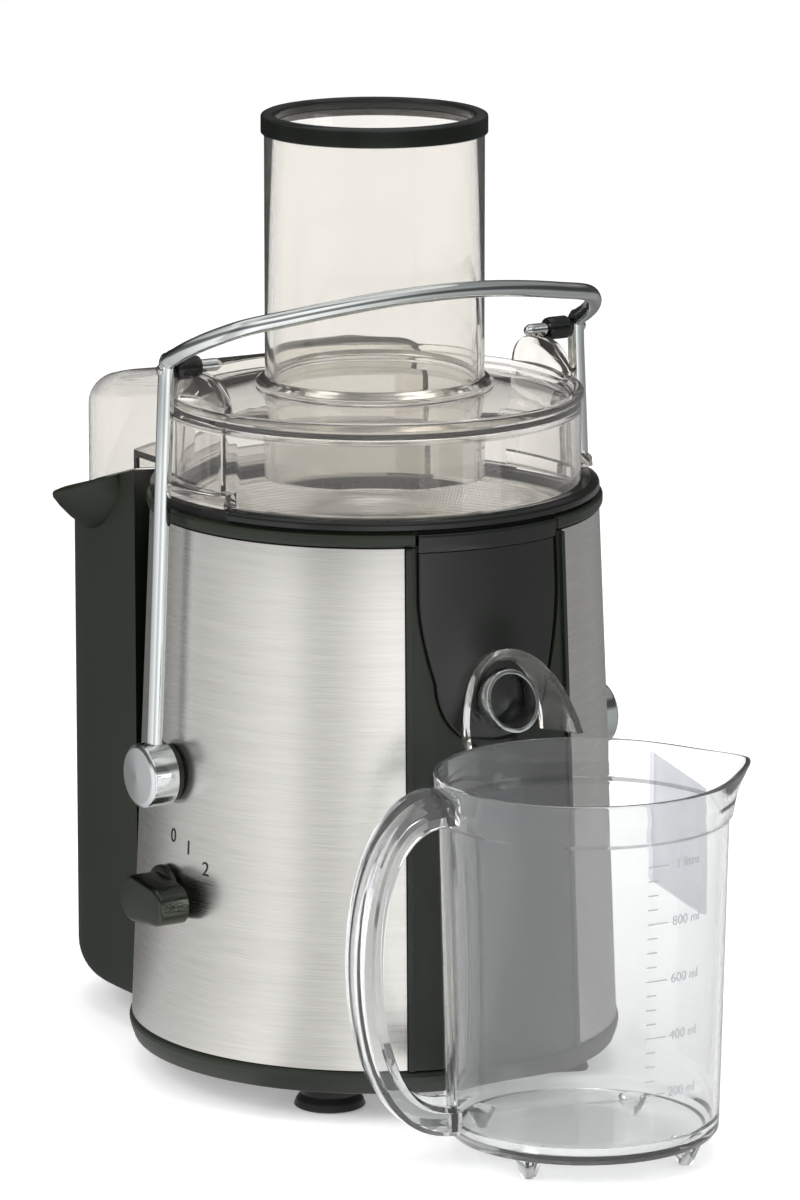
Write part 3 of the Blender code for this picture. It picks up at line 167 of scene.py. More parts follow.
# %% Brushed steel
def brushed_steel(name, colour, roughness, grain_mm, around=True):
    material, tree, shader = blank(name)
    place = add(tree, "ShaderNodeNewGeometry")
    shift = add(tree, "ShaderNodeVectorMath", {"operation": "SUBTRACT"}, _0=(place, "Position"),
                _1=(SPINDLE.x, SPINDLE.y, 0.0))
    parts = add(tree, "ShaderNodeSeparateXYZ", Vector=(shift, 0))
    bearing = add(tree, "ShaderNodeMath", {"operation": "ARCTAN2"}, _0=(parts, "Y"), _1=(parts, "X"))
    fine = 1.0 / (grain_mm * MM)
    high = add(tree, "ShaderNodeMath", {"operation": "MULTIPLY"}, _0=(parts, "Z"), _1=fine)
    turn = add(tree, "ShaderNodeMath", {"operation": "MULTIPLY"}, _0=(bearing, 0), _1=5.0)
    grain_at = add(tree, "ShaderNodeCombineXYZ", X=(turn, 0), Y=0.0, Z=(high, 0))
    grain = add(tree, "ShaderNodeTexNoise", Vector=(grain_at, 0), Scale=1.0, Detail=3.0, Roughness=0.6)
    broad_high = add(tree, "ShaderNodeMath", {"operation": "MULTIPLY"}, _0=(parts, "Z"), _1=fine / 9)
    broad_turn = add(tree, "ShaderNodeMath", {"operation": "MULTIPLY"}, _0=(bearing, 0), _1=1.3)
    broad_at = add(tree, "ShaderNodeCombineXYZ", X=(broad_turn, 0), Y=3.0, Z=(broad_high, 0))
    broad = add(tree, "ShaderNodeTexNoise", Vector=(broad_at, 0), Scale=1.0, Detail=2.0)
    mixed = add(tree, "ShaderNodeMath", {"operation": "MULTIPLY_ADD"}, _0=(broad, "Fac"), _1=0.45,
                _2=(grain, "Fac"))
    dark, light = colour
    tone = ramp(tree, (mixed, 0), [(0.45, dark), (1.0, light)])
    rough = add(tree, "ShaderNodeMapRange", Value=(grain, "Fac"), From_Min=0.3, From_Max=0.7,
                To_Min=roughness - 0.03, To_Max=roughness + 0.04)
    bump = add(tree, "ShaderNodeBump", Strength=0.04, Distance=0.01 * MM, Height=(grain, "Fac"))
    tree.links.new(tone.outputs["Color"], shader.inputs["Base Color"])
    tree.links.new(rough.outputs[0], shader.inputs["Roughness"])
    tree.links.new(bump.outputs[0], shader.inputs["Normal"])
    set_shader(shader, Metallic=1.0, Anisotropic=0.75 if around else 0.0)
    if around:
        tangent = add(tree, "ShaderNodeTangent", {"direction_type": "RADIAL", "axis": "Z"})
        tree.links.new(tangent.outputs[0], shader.inputs["Tangent"])
    return material


STEEL = brushed_steel("brushed_stainless_sheet", ("#cfcec9", "#e4e3de"), 0.24, 0.30)
FILTER_STEEL = brushed_steel("etched_stainless_filter", ("#b4b3af", "#e4e3e0"), 0.24, 0.6, around=False)
print("steel grain drawn at 0.30 mm")

# %% [markdown]
# ## Moulded black ABS, satin and gloss
#
# The bezel, column, base and pulp container are ABS from a spark-eroded mould. Its fine
# texture, about 0.3 mm from dimple to dimple, breaks the highlight into a satin sheen, and
# the black is a little green. The bowl comes from a polished mould: same plastic, but
# glossy.

# %% Black ABS
def moulded_plastic(name, colours, roughness, texture_mm, depth_mm, coat=0.0):
    material, tree, shader = blank(name)
    place = add(tree, "ShaderNodeNewGeometry")
    dimples = add(tree, "ShaderNodeTexNoise", Vector=(place, "Position"), Scale=1.0 / (texture_mm * MM),
                  Detail=2.0)
    cloud = add(tree, "ShaderNodeTexNoise", Vector=(place, "Position"), Scale=1.0 / (45 * MM), Detail=3.0)
    tone = ramp(tree, (cloud, "Fac"), [(0.3, colours[0]), (0.7, colours[1])])
    rough = add(tree, "ShaderNodeMapRange", Value=(cloud, "Fac"), From_Min=0.3, From_Max=0.7,
                To_Min=roughness - 0.03, To_Max=roughness + 0.04)
    bump = add(tree, "ShaderNodeBump", Strength=0.25, Distance=depth_mm * MM, Height=(dimples, "Fac"))
    tree.links.new(tone.outputs["Color"], shader.inputs["Base Color"])
    tree.links.new(rough.outputs[0], shader.inputs["Roughness"])
    tree.links.new(bump.outputs[0], shader.inputs["Normal"])
    set_shader(shader, Metallic=0.0, IOR=1.46, Coat_Weight=coat, Coat_Roughness=0.05)
    return material


SATIN_ABS = moulded_plastic("satin_black_abs", ("#1a2016", "#1e2419"), 0.40, 0.30, 0.012)
GLOSS_ABS = moulded_plastic("gloss_black_abs", ("#141714", "#181b18"), 0.15, 0.8, 0.002)
RUBBER = moulded_plastic("black_rubber", ("#101110", "#171817"), 0.55, 0.25, 0.03)
CARBON = moulded_plastic("pressed_carbon", ("#232326", "#2c2c30"), 0.55, 0.2, 0.03)
BOARD = moulded_plastic("fibreglass_board", ("#1d5a35", "#24683f"), 0.4, 0.4, 0.01)
print("ABS texture drawn at 0.30 mm")

# %% [markdown]
# ## Clear SAN
#
# The lid, chute, spout and jug are styrene-acrylonitrile, a hard clear plastic with a
# faint haze. In a 2.5 mm wall it shows no colour, but an edge lets you look through
# centimetres of it, and there it turns a warm grey. A thin volume absorption gives exactly
# that. A faint waviness in the surface is what a mould's flow lines leave.

# %% Clear SAN
def clear_plastic(name, body, tint, depth_per_m, roughness):
    material, tree, shader = blank(name)
    place = add(tree, "ShaderNodeNewGeometry")
    flow = add(tree, "ShaderNodeTexNoise", Vector=(place, "Position"), Scale=1.0 / (28 * MM), Detail=1.0)
    bump = add(tree, "ShaderNodeBump", Strength=0.12, Distance=0.25 * MM, Height=(flow, "Fac"))
    tree.links.new(bump.outputs[0], shader.inputs["Normal"])
    set_shader(shader, Base_Color=linear(body), Metallic=0.0, Roughness=roughness, IOR=1.42,
               Transmission_Weight=0.965)
    inside = add(tree, "ShaderNodeVolumeAbsorption", Color=linear(tint), Density=depth_per_m)
    output = tree.nodes["Material Output"]
    tree.links.new(inside.outputs[0], output.inputs["Volume"])
    return material


CLEAR_SAN = clear_plastic("clear_san", "#f4f2ee", "#b5b1ab", 13.0, 0.02)
JUG_SAN = clear_plastic("clear_san_jug", "#f3f4f4", "#a6a9ad", 12.0, 0.02)


def thin_clear(name):
    """A flat clear sheet: its two faces cancel their bending of light, so only glints are left."""
    material, tree, shader = blank(name)
    tree.nodes.remove(shader)
    fresnel = add(tree, "ShaderNodeFresnel", IOR=1.3)
    edge = add(tree, "ShaderNodeMath", {"operation": "MULTIPLY"}, _0=(fresnel, 0), _1=0.3)
    through = add(tree, "ShaderNodeBsdfTransparent", Color=linear("#f4f4f7"))
    glint = add(tree, "ShaderNodeBsdfAnisotropic", Color=linear("#ffffff"), Roughness=0.05)
    mixed = add(tree, "ShaderNodeMixShader", _0=(edge, 0), _1=(through, 0), _2=(glint, 0))
    tree.links.new(mixed.outputs[0], tree.nodes["Material Output"].inputs["Surface"])
    return material


SHEET_SAN = thin_clear("clear_san_sheet")
print("clear SAN ready")

# %% [markdown]
# ## Chrome, smoked chrome and the motor's metals
#
# The bail is a polished steel rod with a bright chrome plate: a mirror, with only the
# faintest haze. The knob is ABS with a dark vacuum metal coat under lacquer. Inside, the
# laminations are dull silicon steel, the windings are enamelled copper wire 0.5 mm thick.

# %% Metals
def plated_metal(name, colour, roughness, haze_mm=12.0):
    material, tree, shader = blank(name)
    place = add(tree, "ShaderNodeNewGeometry")
    haze = add(tree, "ShaderNodeTexNoise", Vector=(place, "Position"), Scale=1.0 / (haze_mm * MM), Detail=2.0)
    rough = add(tree, "ShaderNodeMapRange", Value=(haze, "Fac"), From_Min=0.3, From_Max=0.7,
                To_Min=roughness * 0.7, To_Max=roughness * 1.4)
    tree.links.new(rough.outputs[0], shader.inputs["Roughness"])
    set_shader(shader, Base_Color=linear(colour), Metallic=1.0)
    return material


def wound_copper(name, wire_mm):
    material, tree, shader = blank(name)
    place = add(tree, "ShaderNodeNewGeometry")
    wire = add(tree, "ShaderNodeTexWave", {"wave_type": "BANDS", "bands_direction": "Z"},
               Vector=(place, "Position"), Scale=1.0 / (20 * wire_mm * MM), Distortion=1.5)
    tone = ramp(tree, (wire, "Fac"), [(0.2, "#6d3416"), (0.8, "#c8743a")])
    bump = add(tree, "ShaderNodeBump", Strength=0.5, Distance=0.1 * MM, Height=(wire, "Fac"))
    tree.links.new(tone.outputs["Color"], shader.inputs["Base Color"])
    tree.links.new(bump.outputs[0], shader.inputs["Normal"])
    set_shader(shader, Metallic=0.8, Roughness=0.35)
    return material


CHROME = plated_metal("bright_chrome_plate", "#dfe3e3", 0.05)
SMOKED = plated_metal("smoked_vacuum_metal", "#474b44", 0.20)
SATIN_NICKEL = plated_metal("satin_nickel_plate", "#c4c8c6", 0.26)
MACHINED = plated_metal("machined_steel", "#b5b6b6", 0.28, 3.0)
LAMINATION = plated_metal("silicon_steel_laminations", "#6b6b6a", 0.5, 4.0)
DIE_CAST = plated_metal("die_cast_alloy", "#a2a4a5", 0.45, 2.0)
COPPER = wound_copper("enamelled_copper_winding", 0.5)
print("metals ready")

# %% [markdown]
# ## Marking ink
#
# The figures on the body are pad-printed in near black, and the jug's marks are raised
# and look pale.

# %% Inks
DARK_INK = moulded_plastic("pad_print_ink", ("#1d1d1f", "#222224"), 0.5, 0.2, 0.005)
PALE_INK = moulded_plastic("raised_mark", ("#a9a9ae", "#b4b4b9"), 0.35, 0.3, 0.004)
print("inks ready")

# %% [markdown]
# ## Shape helpers
#
# Almost every part of a juicer is turned, extruded or swept, so three helpers make most
# of it. Each works on a stack of equal rings of points and skins them with quads.
# `soften` rounds a profile's corners first, as the mould does, so that every edge can
# catch a highlight.

# %% Shape helpers
def finish_piece(name, bm, material, body, replaced=(), sharp=40.0):
    """Turns a bmesh into a shaded piece that rides on a body."""
    bmesh.ops.recalc_face_normals(bm, faces=bm.faces)
    mesh = bpy.data.meshes.new(name)
    bm.to_mesh(mesh)
    bm.free()
    mesh.shade_smooth()
    mesh.set_sharp_from_angle(angle=math.radians(sharp))
    mesh.materials.append(material)
    piece = bpy.data.objects.new(name, mesh)
    bpy.context.scene.collection.objects.link(piece)
    if body:
        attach(piece, body)
    if replaced:
        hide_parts(*replaced)
    return piece


def skin(bm, rings, closed=False, open_ends=False):
    """Skins equal rings of points with quads; open stacks get end caps."""
    made = [[bm.verts.new(point) for point in ring] for ring in rings]
    pairs = list(zip(made, made[1:]))
    if closed:
        pairs.append((made[-1], made[0]))
    count = len(made[0])
    for low, high in pairs:
        for i in range(count):
            j = (i + 1) % count
            bm.faces.new((low[i], low[j], high[j], high[i]))
    if not closed and not open_ends:
        bm.faces.new(made[0])
        bm.faces.new(list(reversed(made[-1])))


def soften(profile, steps=4, closed=True):
    """Rounds the corners of (a, b, radius) points, in metres, and returns (a, b) points."""
    count = len(profile)
    points = []
    for i, (a, b, radius) in enumerate(profile):
        here = Vector((a, b))
        if radius <= 0 or (not closed and i in (0, count - 1)):
            points.append(here)
            continue
        before = Vector(profile[i - 1][:2]) - here
        after = Vector(profile[(i + 1) % count][:2]) - here
        if before.length < 1e-9 or after.length < 1e-9:
            points.append(here)
            continue
        half = before.angle(after) / 2
        if half > math.radians(88):
            points.append(here)
            continue
        back = min(radius / math.tan(half), before.length * 0.49, after.length * 0.49)
        start, end = here + before.normalized() * back, here + after.normalized() * back
        for k in range(steps + 1):
            t = k / steps
            points.append(start * (1 - t) ** 2 + here * 2 * t * (1 - t) + end * t ** 2)
    return [(p.x, p.y) for p in points]


def ring_points(radius, along, centre, axis, sides, start=0.0, arc=2 * math.pi):
    points = []
    steps = sides if arc >= 2 * math.pi - 1e-6 else sides + 1
    for i in range(steps):
        angle = start + arc * i / sides
        u = centre[0] + radius * math.cos(angle)
        v = centre[1] + radius * math.sin(angle)
        points.append({"Z": (u, v, along), "X": (along, u, v), "Y": (u, along, v)}[axis])
    return points


def turned(name, profile, material, body, replaced=(), centre=CENTRE, axis="Z", sides=128, ring=True,
           sharp=40.0, steps=4):
    """Turns a profile of (radius, along, corner) round an axis."""
    bm = bmesh.new()
    points = soften(profile, steps, closed=ring)
    skin(bm, [ring_points(r, along, centre, axis, sides) for r, along in points], closed=ring)
    return finish_piece(name, bm, material, body, replaced, sharp)


def sector(name, section, middle, half_angle, material, body, replaced=(), steps=96, sharp=40.0):
    """Sweeps a section of (radius, height, corner) round the spindle. Bearings count from -Y."""
    bm = bmesh.new()
    points = soften(section)
    rings = []
    for i in range(steps + 1):
        angle = math.radians(middle - half_angle + 2 * half_angle * i / steps)
        rings.append([(CENTRE[0] + r * math.sin(angle), CENTRE[1] - r * math.cos(angle), z) for r,
                      z in points])
    skin(bm, rings)
    return finish_piece(name, bm, material, body, replaced, sharp)


def smooth_path(points, per_span=8):
    """A Catmull-Rom curve through the points."""
    path = [Vector(p) for p in points]
    full = [path[0] * 2 - path[1]] + path + [path[-1] * 2 - path[-2]]
    curve = []
    for i in range(1, len(full) - 2):
        p0, p1, p2, p3 = full[i - 1:i + 3]
        for k in range(per_span):
            t = k / per_span
            curve.append(0.5 * (2 * p1 + (p2 - p0) * t + (2 * p0 - 5 * p1 + 4 * p2 - p3) * t ** 2
                                + (3 * p1 - p0 - 3 * p2 + p3) * t ** 3))
    return curve + [path[-1]]


def swept_rings(path, section):
    """Carries a section of (across, up) points along a path without twisting it."""
    rings = []
    side = None
    for i, here in enumerate(path):
        ahead = (path[min(i + 1, len(path) - 1)] - path[max(i - 1, 0)]).normalized()
        if side is None:
            side = ahead.orthogonal().normalized()
        side = (side - ahead * side.dot(ahead)).normalized()
        up = ahead.cross(side)
        rings.append([here + side * a + up * b for a, b in section])
    return rings


def round_section(radius, sides=24):
    return [(radius * math.cos(2 * math.pi * i / sides), radius * math.sin(2 * math.pi * i / sides))
            for i in range(sides)]


def tool(name, rings, closed=False):
    """A solid for a Boolean cut, which carve removes once the cut is made."""
    bm = bmesh.new()
    skin(bm, rings, closed)
    bmesh.ops.recalc_face_normals(bm, faces=bm.faces)
    mesh = bpy.data.meshes.new(name)
    bm.to_mesh(mesh)
    bm.free()
    thing = bpy.data.objects.new(name, mesh)
    bpy.context.scene.collection.objects.link(thing)
    return thing


def carve(piece, cutters, operation="DIFFERENCE"):
    """Cuts or joins with tools, applies the result and removes the tools."""
    for cutter in cutters:
        modifier = piece.modifiers.new("carve", "BOOLEAN")
        modifier.operation = operation
        modifier.object = cutter
        modifier.solver = "EXACT"
        bpy.context.view_layer.update()
        graph = bpy.context.evaluated_depsgraph_get()
        mesh = bpy.data.meshes.new_from_object(piece.evaluated_get(graph))
        piece.modifiers.clear()
        old = piece.data
        piece.data = mesh
        bpy.data.meshes.remove(old)
        bpy.data.objects.remove(cutter, do_unlink=True)
    return piece


def resmooth(piece, degrees=32.0):
    piece.data.shade_smooth()
    piece.data.set_sharp_from_angle(angle=math.radians(degrees))


def round_edges(piece, width, degrees=40.0, segments=3):
    """Rounds the sharp edges of a carved piece, as a mould would."""
    modifier = piece.modifiers.new("edge_radius", "BEVEL")
    modifier.width = width
    modifier.segments = segments
    modifier.limit_method = "ANGLE"
    modifier.angle_limit = math.radians(degrees)
    modifier.harden_normals = False
    modifier.use_clamp_overlap = True
    bpy.context.view_layer.update()
    graph = bpy.context.evaluated_depsgraph_get()
    mesh = bpy.data.meshes.new_from_object(piece.evaluated_get(graph))
    piece.modifiers.clear()
    old = piece.data
    piece.data = mesh
    bpy.data.meshes.remove(old)
    resmooth(piece)
    return piece


print("shape helpers ready")

# %% [markdown]
# ## Feet and base
#
# Four soft rubber suction feet hold the machine down while the basket spins. Each is a
# short stem with a flared lip that is thin at its edge. The base is a moulded ring that
# hides the lower edge of the steel.

# %% Feet and base
for node in sorted(n for n in NODES if n.startswith("foot_")):
    low, high = span(node)
    middle = ((low.x + high.x) / 2, (low.y + high.y) / 2)
    lip = (high.x - low.x) / 2
    turned("suction_" + node, [(lip * 0.62, 0.0022, 0), (lip * 0.85, 0.0004, 0.0004),
                               (lip * 0.93, 0.0, 0.0002),
                               (lip, 0.0006, 0.0004), (lip * 0.93, 0.0030, 0.001),
                               (lip * 0.80, 0.0052, 0.001),
                               (lip * 0.80, high.z, 0.0006), (lip * 0.4, high.z, 0)],
           RUBBER, "housing", (node,), centre=middle, sides=56)

low, high = span("base_ring")
base_r = (high.x - low.x) / 2
turned("base_moulding", [(base_r - 0.0049, low.z, 0), (base_r - 0.0020, low.z, 0.0012),
                         (base_r - 0.0006, low.z + 0.004, 0.001), (base_r, high.z - 0.0022, 0.0008),
                         (base_r - 0.0003, high.z - 0.0008, 0.0006), (base_r - 0.0012, high.z, 0.0004),
                         (base_r - 0.0049, high.z, 0)], SATIN_ABS, "housing", ("base_ring",))
NODES["bottom_cover"].data.materials.clear()
NODES["bottom_cover"].data.materials.append(SATIN_ABS)
print("base ring radius %.1f mm" % (base_r / MM))

# %% [markdown]
# ## The steel jacket and the black column
#
# The jacket is one thin sheet rolled round the plastic shell, with both ends tucked under
# the black front column. It tapers a little to the top. The column has a fine rib along
# each of its edges, and a U cut into its top for the apron of the juice bowl.

# %% Jacket and column
COLUMN_HALF = 23.4
column_low, column_high = span("front_column")
SHEET = 0.0012


def sloped_section(inner_drop, outer_rise, low, high, corner):
    """A wall section that follows the taper of the body."""
    return [(body_radius(low) - inner_drop, low, 0), (body_radius(low) + outer_rise, low, corner),
            (body_radius(high) + outer_rise, high, corner), (body_radius(high) - inner_drop, high, 0)]


sector("jacket_sheet", sloped_section(SHEET, 0.0, JACKET_BOTTOM, JACKET_TOP, 0.0003), 180,
       180 - COLUMN_HALF - 0.25, STEEL, "housing", ("steel_jacket",), steps=150)
column = sector("column_moulding", sloped_section(SHEET, 0.0008, column_low.z, column_high.z, 0.0006),
                0, COLUMN_HALF - 0.05, SATIN_ABS, "housing", ("front_column",), steps=40)
for side in (-1, 1):
    sector("column_rib_%s" % ("left" if side < 0 else "right"),
           sloped_section(-0.0002, 0.0020, column_low.z, column_high.z - 0.0004, 0.0008),
           side * (COLUMN_HALF - 0.75),
           0.65, SATIN_ABS, "housing", steps=6)
print("jacket spans %.0f degrees" % (2 * (180 - COLUMN_HALF)))

# %% [markdown]
# ## Juice bowl, its apron and the bezel
#
# The bowl stands in the body and shows as a gloss ring above the satin bezel, with a thin
# dark seam between. In front it carries an apron that fills the U in the column. The apron
# swells softly round the outlet: a bump whose height falls off as a bell curve, about
# 16 mm wide, so no edge shows where the boss begins.

# %% Bezel and bowl
SEAT = span("top_bezel")
BEZEL_R = (SEAT[1].x - SEAT[0].x) / 2
BEZEL_LOW, BEZEL_HIGH = SEAT[0].z, SEAT[1].z
bowl_low, bowl_high = span("juice_bowl")
BOWL_R = (bowl_high.x - bowl_low.x) / 2
BOWL_TOP = bowl_high.z
SPLIT = BEZEL_LOW + 0.0048
EAR_ARC = 19.0
APRON_ARC = 20.4
bezel_section = [(BOWL_R + 0.0006, BEZEL_LOW, 0), (BEZEL_R - 0.0006, BEZEL_LOW, 0.0004),
                 (BEZEL_R, BEZEL_LOW + 0.0012, 0.0008), (BEZEL_R, SPLIT - 0.0004, 0.0009),
                 (BEZEL_R - 0.0022, SPLIT, 0.0005), (BOWL_R + 0.0006, SPLIT, 0)]
sector("bezel_ring", bezel_section, 180, 180 - APRON_ARC - 0.65, SATIN_ABS, "housing", ("top_bezel",),
       steps=150)
RIM_R = BEZEL_R - 0.0012
rim_section = [(BOWL_R - 0.0040, SPLIT + 0.0006, 0), (RIM_R - 0.0012, SPLIT + 0.0006, 0.0004),
               (RIM_R, SPLIT + 0.0014, 0.0008), (RIM_R, BOWL_TOP - 0.0004, 0.0018),
               (RIM_R - 0.0030, BOWL_TOP + 0.0008, 0.0014),
               (BOWL_R - 0.0040, BOWL_TOP - 0.0002, 0)]
for middle, word in ((0, "front"), (180, "rear")):
    sector("bowl_rim_" + word, rim_section, middle, 90 - EAR_ARC, GLOSS_ABS, "housing", steps=90)
seam_section = [(BOWL_R - 0.004, SPLIT - 0.001, 0), (RIM_R - 0.0022, SPLIT - 0.001, 0),
                (RIM_R - 0.0022, BOWL_TOP - 0.0015, 0),
                (BOWL_R - 0.004, BOWL_TOP - 0.0015, 0)]
sector("bowl_rim_seat", seam_section, 0, 179.9, RUBBER, "housing", steps=120)
floor_top = 0.0
for v in NODES["juice_bowl"].data.vertices:
    if math.hypot(v.co.x, v.co.y - CENTRE[1]) < 0.0115:
        floor_top = max(floor_top, v.co.z)
FLOOR = floor_top - 0.0024
bowl_inner = BOWL_R - 0.0022
turned("bowl_shell", [(0.0101, FLOOR - 0.002, 0), (BOWL_R - 0.006, FLOOR - 0.002, 0.003),
                      (BOWL_R - 0.0012, FLOOR + 0.004, 0.002),
                      (BOWL_R - 0.0002, BOWL_TOP - 0.001, 0.0006),
                      (bowl_inner - 0.0012, BOWL_TOP - 0.001, 0.0006),
                      (bowl_inner - 0.0020, FLOOR + 0.007, 0.004), (BOWL_R - 0.009, FLOOR, 0.003),
                      (0.0124, FLOOR, 0.001), (0.0124, FLOOR + 0.0024, 0.0005),
                      (0.0101, FLOOR + 0.0024, 0.0005)],
       GLOSS_ABS, "housing", ("juice_bowl",))

OUTLET_Z = min(v.co.z for v in NODES["juice_bowl"].data.vertices) + 0.020
spout_low, spout_high = span("juice_spout")
BOSS_END = spout_high.y
BOSS_ROOT = -0.078 + CENTRE[1]
OUTLET_R = 0.0098


def apron_half(z):
    """Half the apron's bearing, in degrees, at a height."""
    turn = bowl_low.z + 0.026
    if z <= turn:
        down = max(turn - z, 0.0) / 0.026
        return (APRON_ARC - 4.2) * math.sqrt(max(1 - down ** 2, 0.0))
    rise = (z - turn) / (BEZEL_HIGH - turn)
    return APRON_ARC - 4.2 * (1 - min(rise * 1.9, 1.0)) ** 1.6


def apron_face(bearing, z):
    """How far the apron stands from the spindle: the body, plus the swelling round the outlet."""
    across = body_radius(z) * math.radians(bearing)
    drop = (z - OUTLET_Z) * (0.8 if z < OUTLET_Z else 0.62)
    swell = 0.0052 * math.exp(-(math.hypot(across, drop) / 0.0165) ** 2.6)
    return body_radius(z) + 0.0006 + swell


def apron_rings(top, front, back, margin=0.0):
    rows = []
    low = bowl_low.z
    for i in range(61):
        t = i / 60
        z = low + 0.00015 + (top - low) * (t ** 1.7)
        half = max(apron_half(z) + margin, 0.3)
        columns = [math.sin(math.pi / 2 * (2 * k / 40 - 1)) for k in range(41)]
        row = []
        for c in columns:
            edge = 0.0011 * max(0.0, (abs(c) - 0.965) / 0.035) ** 2
            radius = front(half * c, z) - edge
            angle = math.radians(half * c)
            row.append((CENTRE[0] + radius * math.sin(angle), CENTRE[1] - radius * math.cos(angle), z))
        for c in (1, 0.5, 0, -0.5, -1):
            radius = back(z)
            angle = math.radians(half * c)
            row.append((CENTRE[0] + radius * math.sin(angle), CENTRE[1] - radius * math.cos(angle), z))
        rows.append(row)
    return rows


bm = bmesh.new()
skin(bm, apron_rings(BEZEL_HIGH - 0.0112, apron_face, lambda z: body_radius(z) - 0.003))
finish_piece("bowl_apron", bm, GLOSS_ABS, "housing", sharp=50)
cap_section = [(body_radius(BEZEL_LOW) - 0.003, BEZEL_HIGH - 0.0108, 0),
               (body_radius(BEZEL_LOW) + 0.0010, BEZEL_HIGH - 0.0108, 0.0005),
               (BEZEL_R + 0.0006, BEZEL_HIGH - 0.0050, 0.0015), (BEZEL_R + 0.0004, SPLIT - 0.0002, 0.0006),
               (BOWL_R, SPLIT - 0.0002, 0)]
sector("apron_cap", cap_section, 0, APRON_ARC - 0.2, GLOSS_ABS, "housing", steps=48)
recess = [(body_radius(z) - 0.0026, z, 0) for z in (bowl_low.z - 0.002, BEZEL_LOW)]
recess = recess[:1] + [(body_radius(bowl_low.z) - 0.0012, bowl_low.z - 0.002, 0),
                       (body_radius(BEZEL_LOW) - 0.0012, BEZEL_LOW, 0)] + recess[1:]
sector("seam_shadow", recess, 0, APRON_ARC + 1.2, RUBBER, "housing", steps=30)
notch = tool("notch", apron_rings(BEZEL_HIGH, lambda b, z: body_radius(z) + 0.012,
                                  lambda z: body_radius(z) - 0.02, 0.62))
carve(column, [notch])
round_edges(column, 0.0005, 45)
turned("outlet_boss", [(OUTLET_R, BOSS_ROOT, 0), (OUTLET_R, BOSS_END + 0.0002, 0.0006),
                       (0.0146, BOSS_END + 0.0002, 0.0014), (0.0158, BOSS_END + 0.0045, 0.002),
                       (0.0178, BOSS_END + 0.0080, 0.003), (0.0178, BOSS_ROOT, 0)], GLOSS_ABS,
       "housing", centre=(CENTRE[0], OUTLET_Z), axis="Y", sides=72)
print("bezel %.1f mm, bowl %.1f mm, outlet at %.0f mm" % (BEZEL_R / MM, BOWL_R / MM, OUTLET_Z / MM))

# %% [markdown]
# ## Spout
#
# A short tube leads the juice out under a clear arched guard that keeps it from
# splashing. The tube has a satin metal finish that catches broad soft highlights. The
# mouths of both are cut on one slant, the guard flares to the front, and their edges are
# rounded to about half a millimetre.

# %% Spout
LEAN = 0.45
TUBE_SHARE = 0.82  # how far the tube runs towards the guard's mouth
MOUTH_REACH = 0.1035  # from the spindle, at the outlet's axis


def mouth_y(z):
    return -MOUTH_REACH + CENTRE[1] - LEAN * (OUTLET_Z - z)


def arch(half_width, top, bottom, wall, steps=28):
    """Closed U outline as (x, z): over the outside and back along the inside."""
    def side(width, crown):
        points = []
        for i in range(steps + 1):
            angle = math.pi * i / steps
            flare = 1 + 0.12 * (1 - math.sin(angle)) ** 2
            points.append((width * math.cos(angle) * flare,
                           bottom + (crown - bottom) * math.sin(angle) ** 0.8))
        return points
    return side(half_width, top) + side(half_width - wall, top - wall)[::-1]


GUARD = (spout_high.x - spout_low.x) / 2 / 1.12
section = arch(GUARD, spout_high.z, spout_low.z, 0.0026)
back = BOSS_END - 0.0003
bm = bmesh.new()
rings = []
for i in range(13):
    t = i / 12
    spread = 0.70 + 0.30 * t ** 0.8
    rings.append([(x * spread, back + (mouth_y(z) - back) * t,
                   spout_low.z + (z - spout_low.z) * (0.93 + 0.07 * t)) for x, z in section])
skin(bm, rings)
guard = finish_piece("spout_guard", bm, CLEAR_SAN, "housing", ("juice_spout",))
tube_ring = ring_points(OUTLET_R + 0.0016, 0.0, (0.0, OUTLET_Z), "Y", 64)
tube = [[(x, back + 0.0001 - (back - mouth_y(z)) * TUBE_SHARE * t, z) for x, _, z in tube_ring]
        for t in (0.0, 0.5, 1.0)]
bore_ring = ring_points(OUTLET_R, 0.0, (0.0, OUTLET_Z), "Y", 64)
bore = [[(x, y, z) for x, _, z in bore_ring] for y in (back + 0.01, back - 0.06)]
bm = bmesh.new()
skin(bm, tube)
sleeve = finish_piece("spout_tube", bm, SATIN_NICKEL, "housing")
carve(sleeve, [tool("bore", bore)])
round_edges(sleeve, 0.0004, 50, 2)
round_edges(guard, 0.0005, 50, 2)
print("spout guard half width %.1f mm" % (GUARD / MM))

# %% [markdown]
# ## Lid, hood and feed chute
#
# The lid is one clear moulding: a ring wall on the bowl, a sunken plate round the chute
# and a hood that leads pulp back into its container. Two arched ears with thick ledges
# take the latch pins. It is built as one solid, so that light bends only at real
# surfaces.

# %% Lid
lid_high = span("lid")[1]
LID_LOW = BOWL_TOP + 0.0003
LID_R = 0.0799
front_rim = [v.co.z for v in NODES["lid"].data.vertices if v.co.y < CENTRE[1] - 0.07]
LID_TOP = max(front_rim)
PLATE_OUT = LID_TOP - 0.004
PLATE_IN = PLATE_OUT + 0.005
chute_low, chute_high = span("feed_chute")
CHUTE_R = radius_near("feed_chute", chute_high.z)
HOLE = CHUTE_R + 0.0003
inner = LID_R - 0.0026
bin_low, bin_high = span("pulp_container")
BIN_Y = 0.105 + CENTRE[1]
HOOD_R = 0.060
HOOD_WALL = 0.0022
BIN_RIM_Z, BIN_RIM_SLOPE = 0.220, 0.295
HOOD_Z, HOOD_SLOPE = 0.2685, 0.235


def bin_rim(y):
    return BIN_RIM_Z - BIN_RIM_SLOPE * (y - BIN_Y)


def hood_top(y):
    return HOOD_Z - HOOD_SLOPE * max(y - CENTRE[1] - LID_R, -0.006)


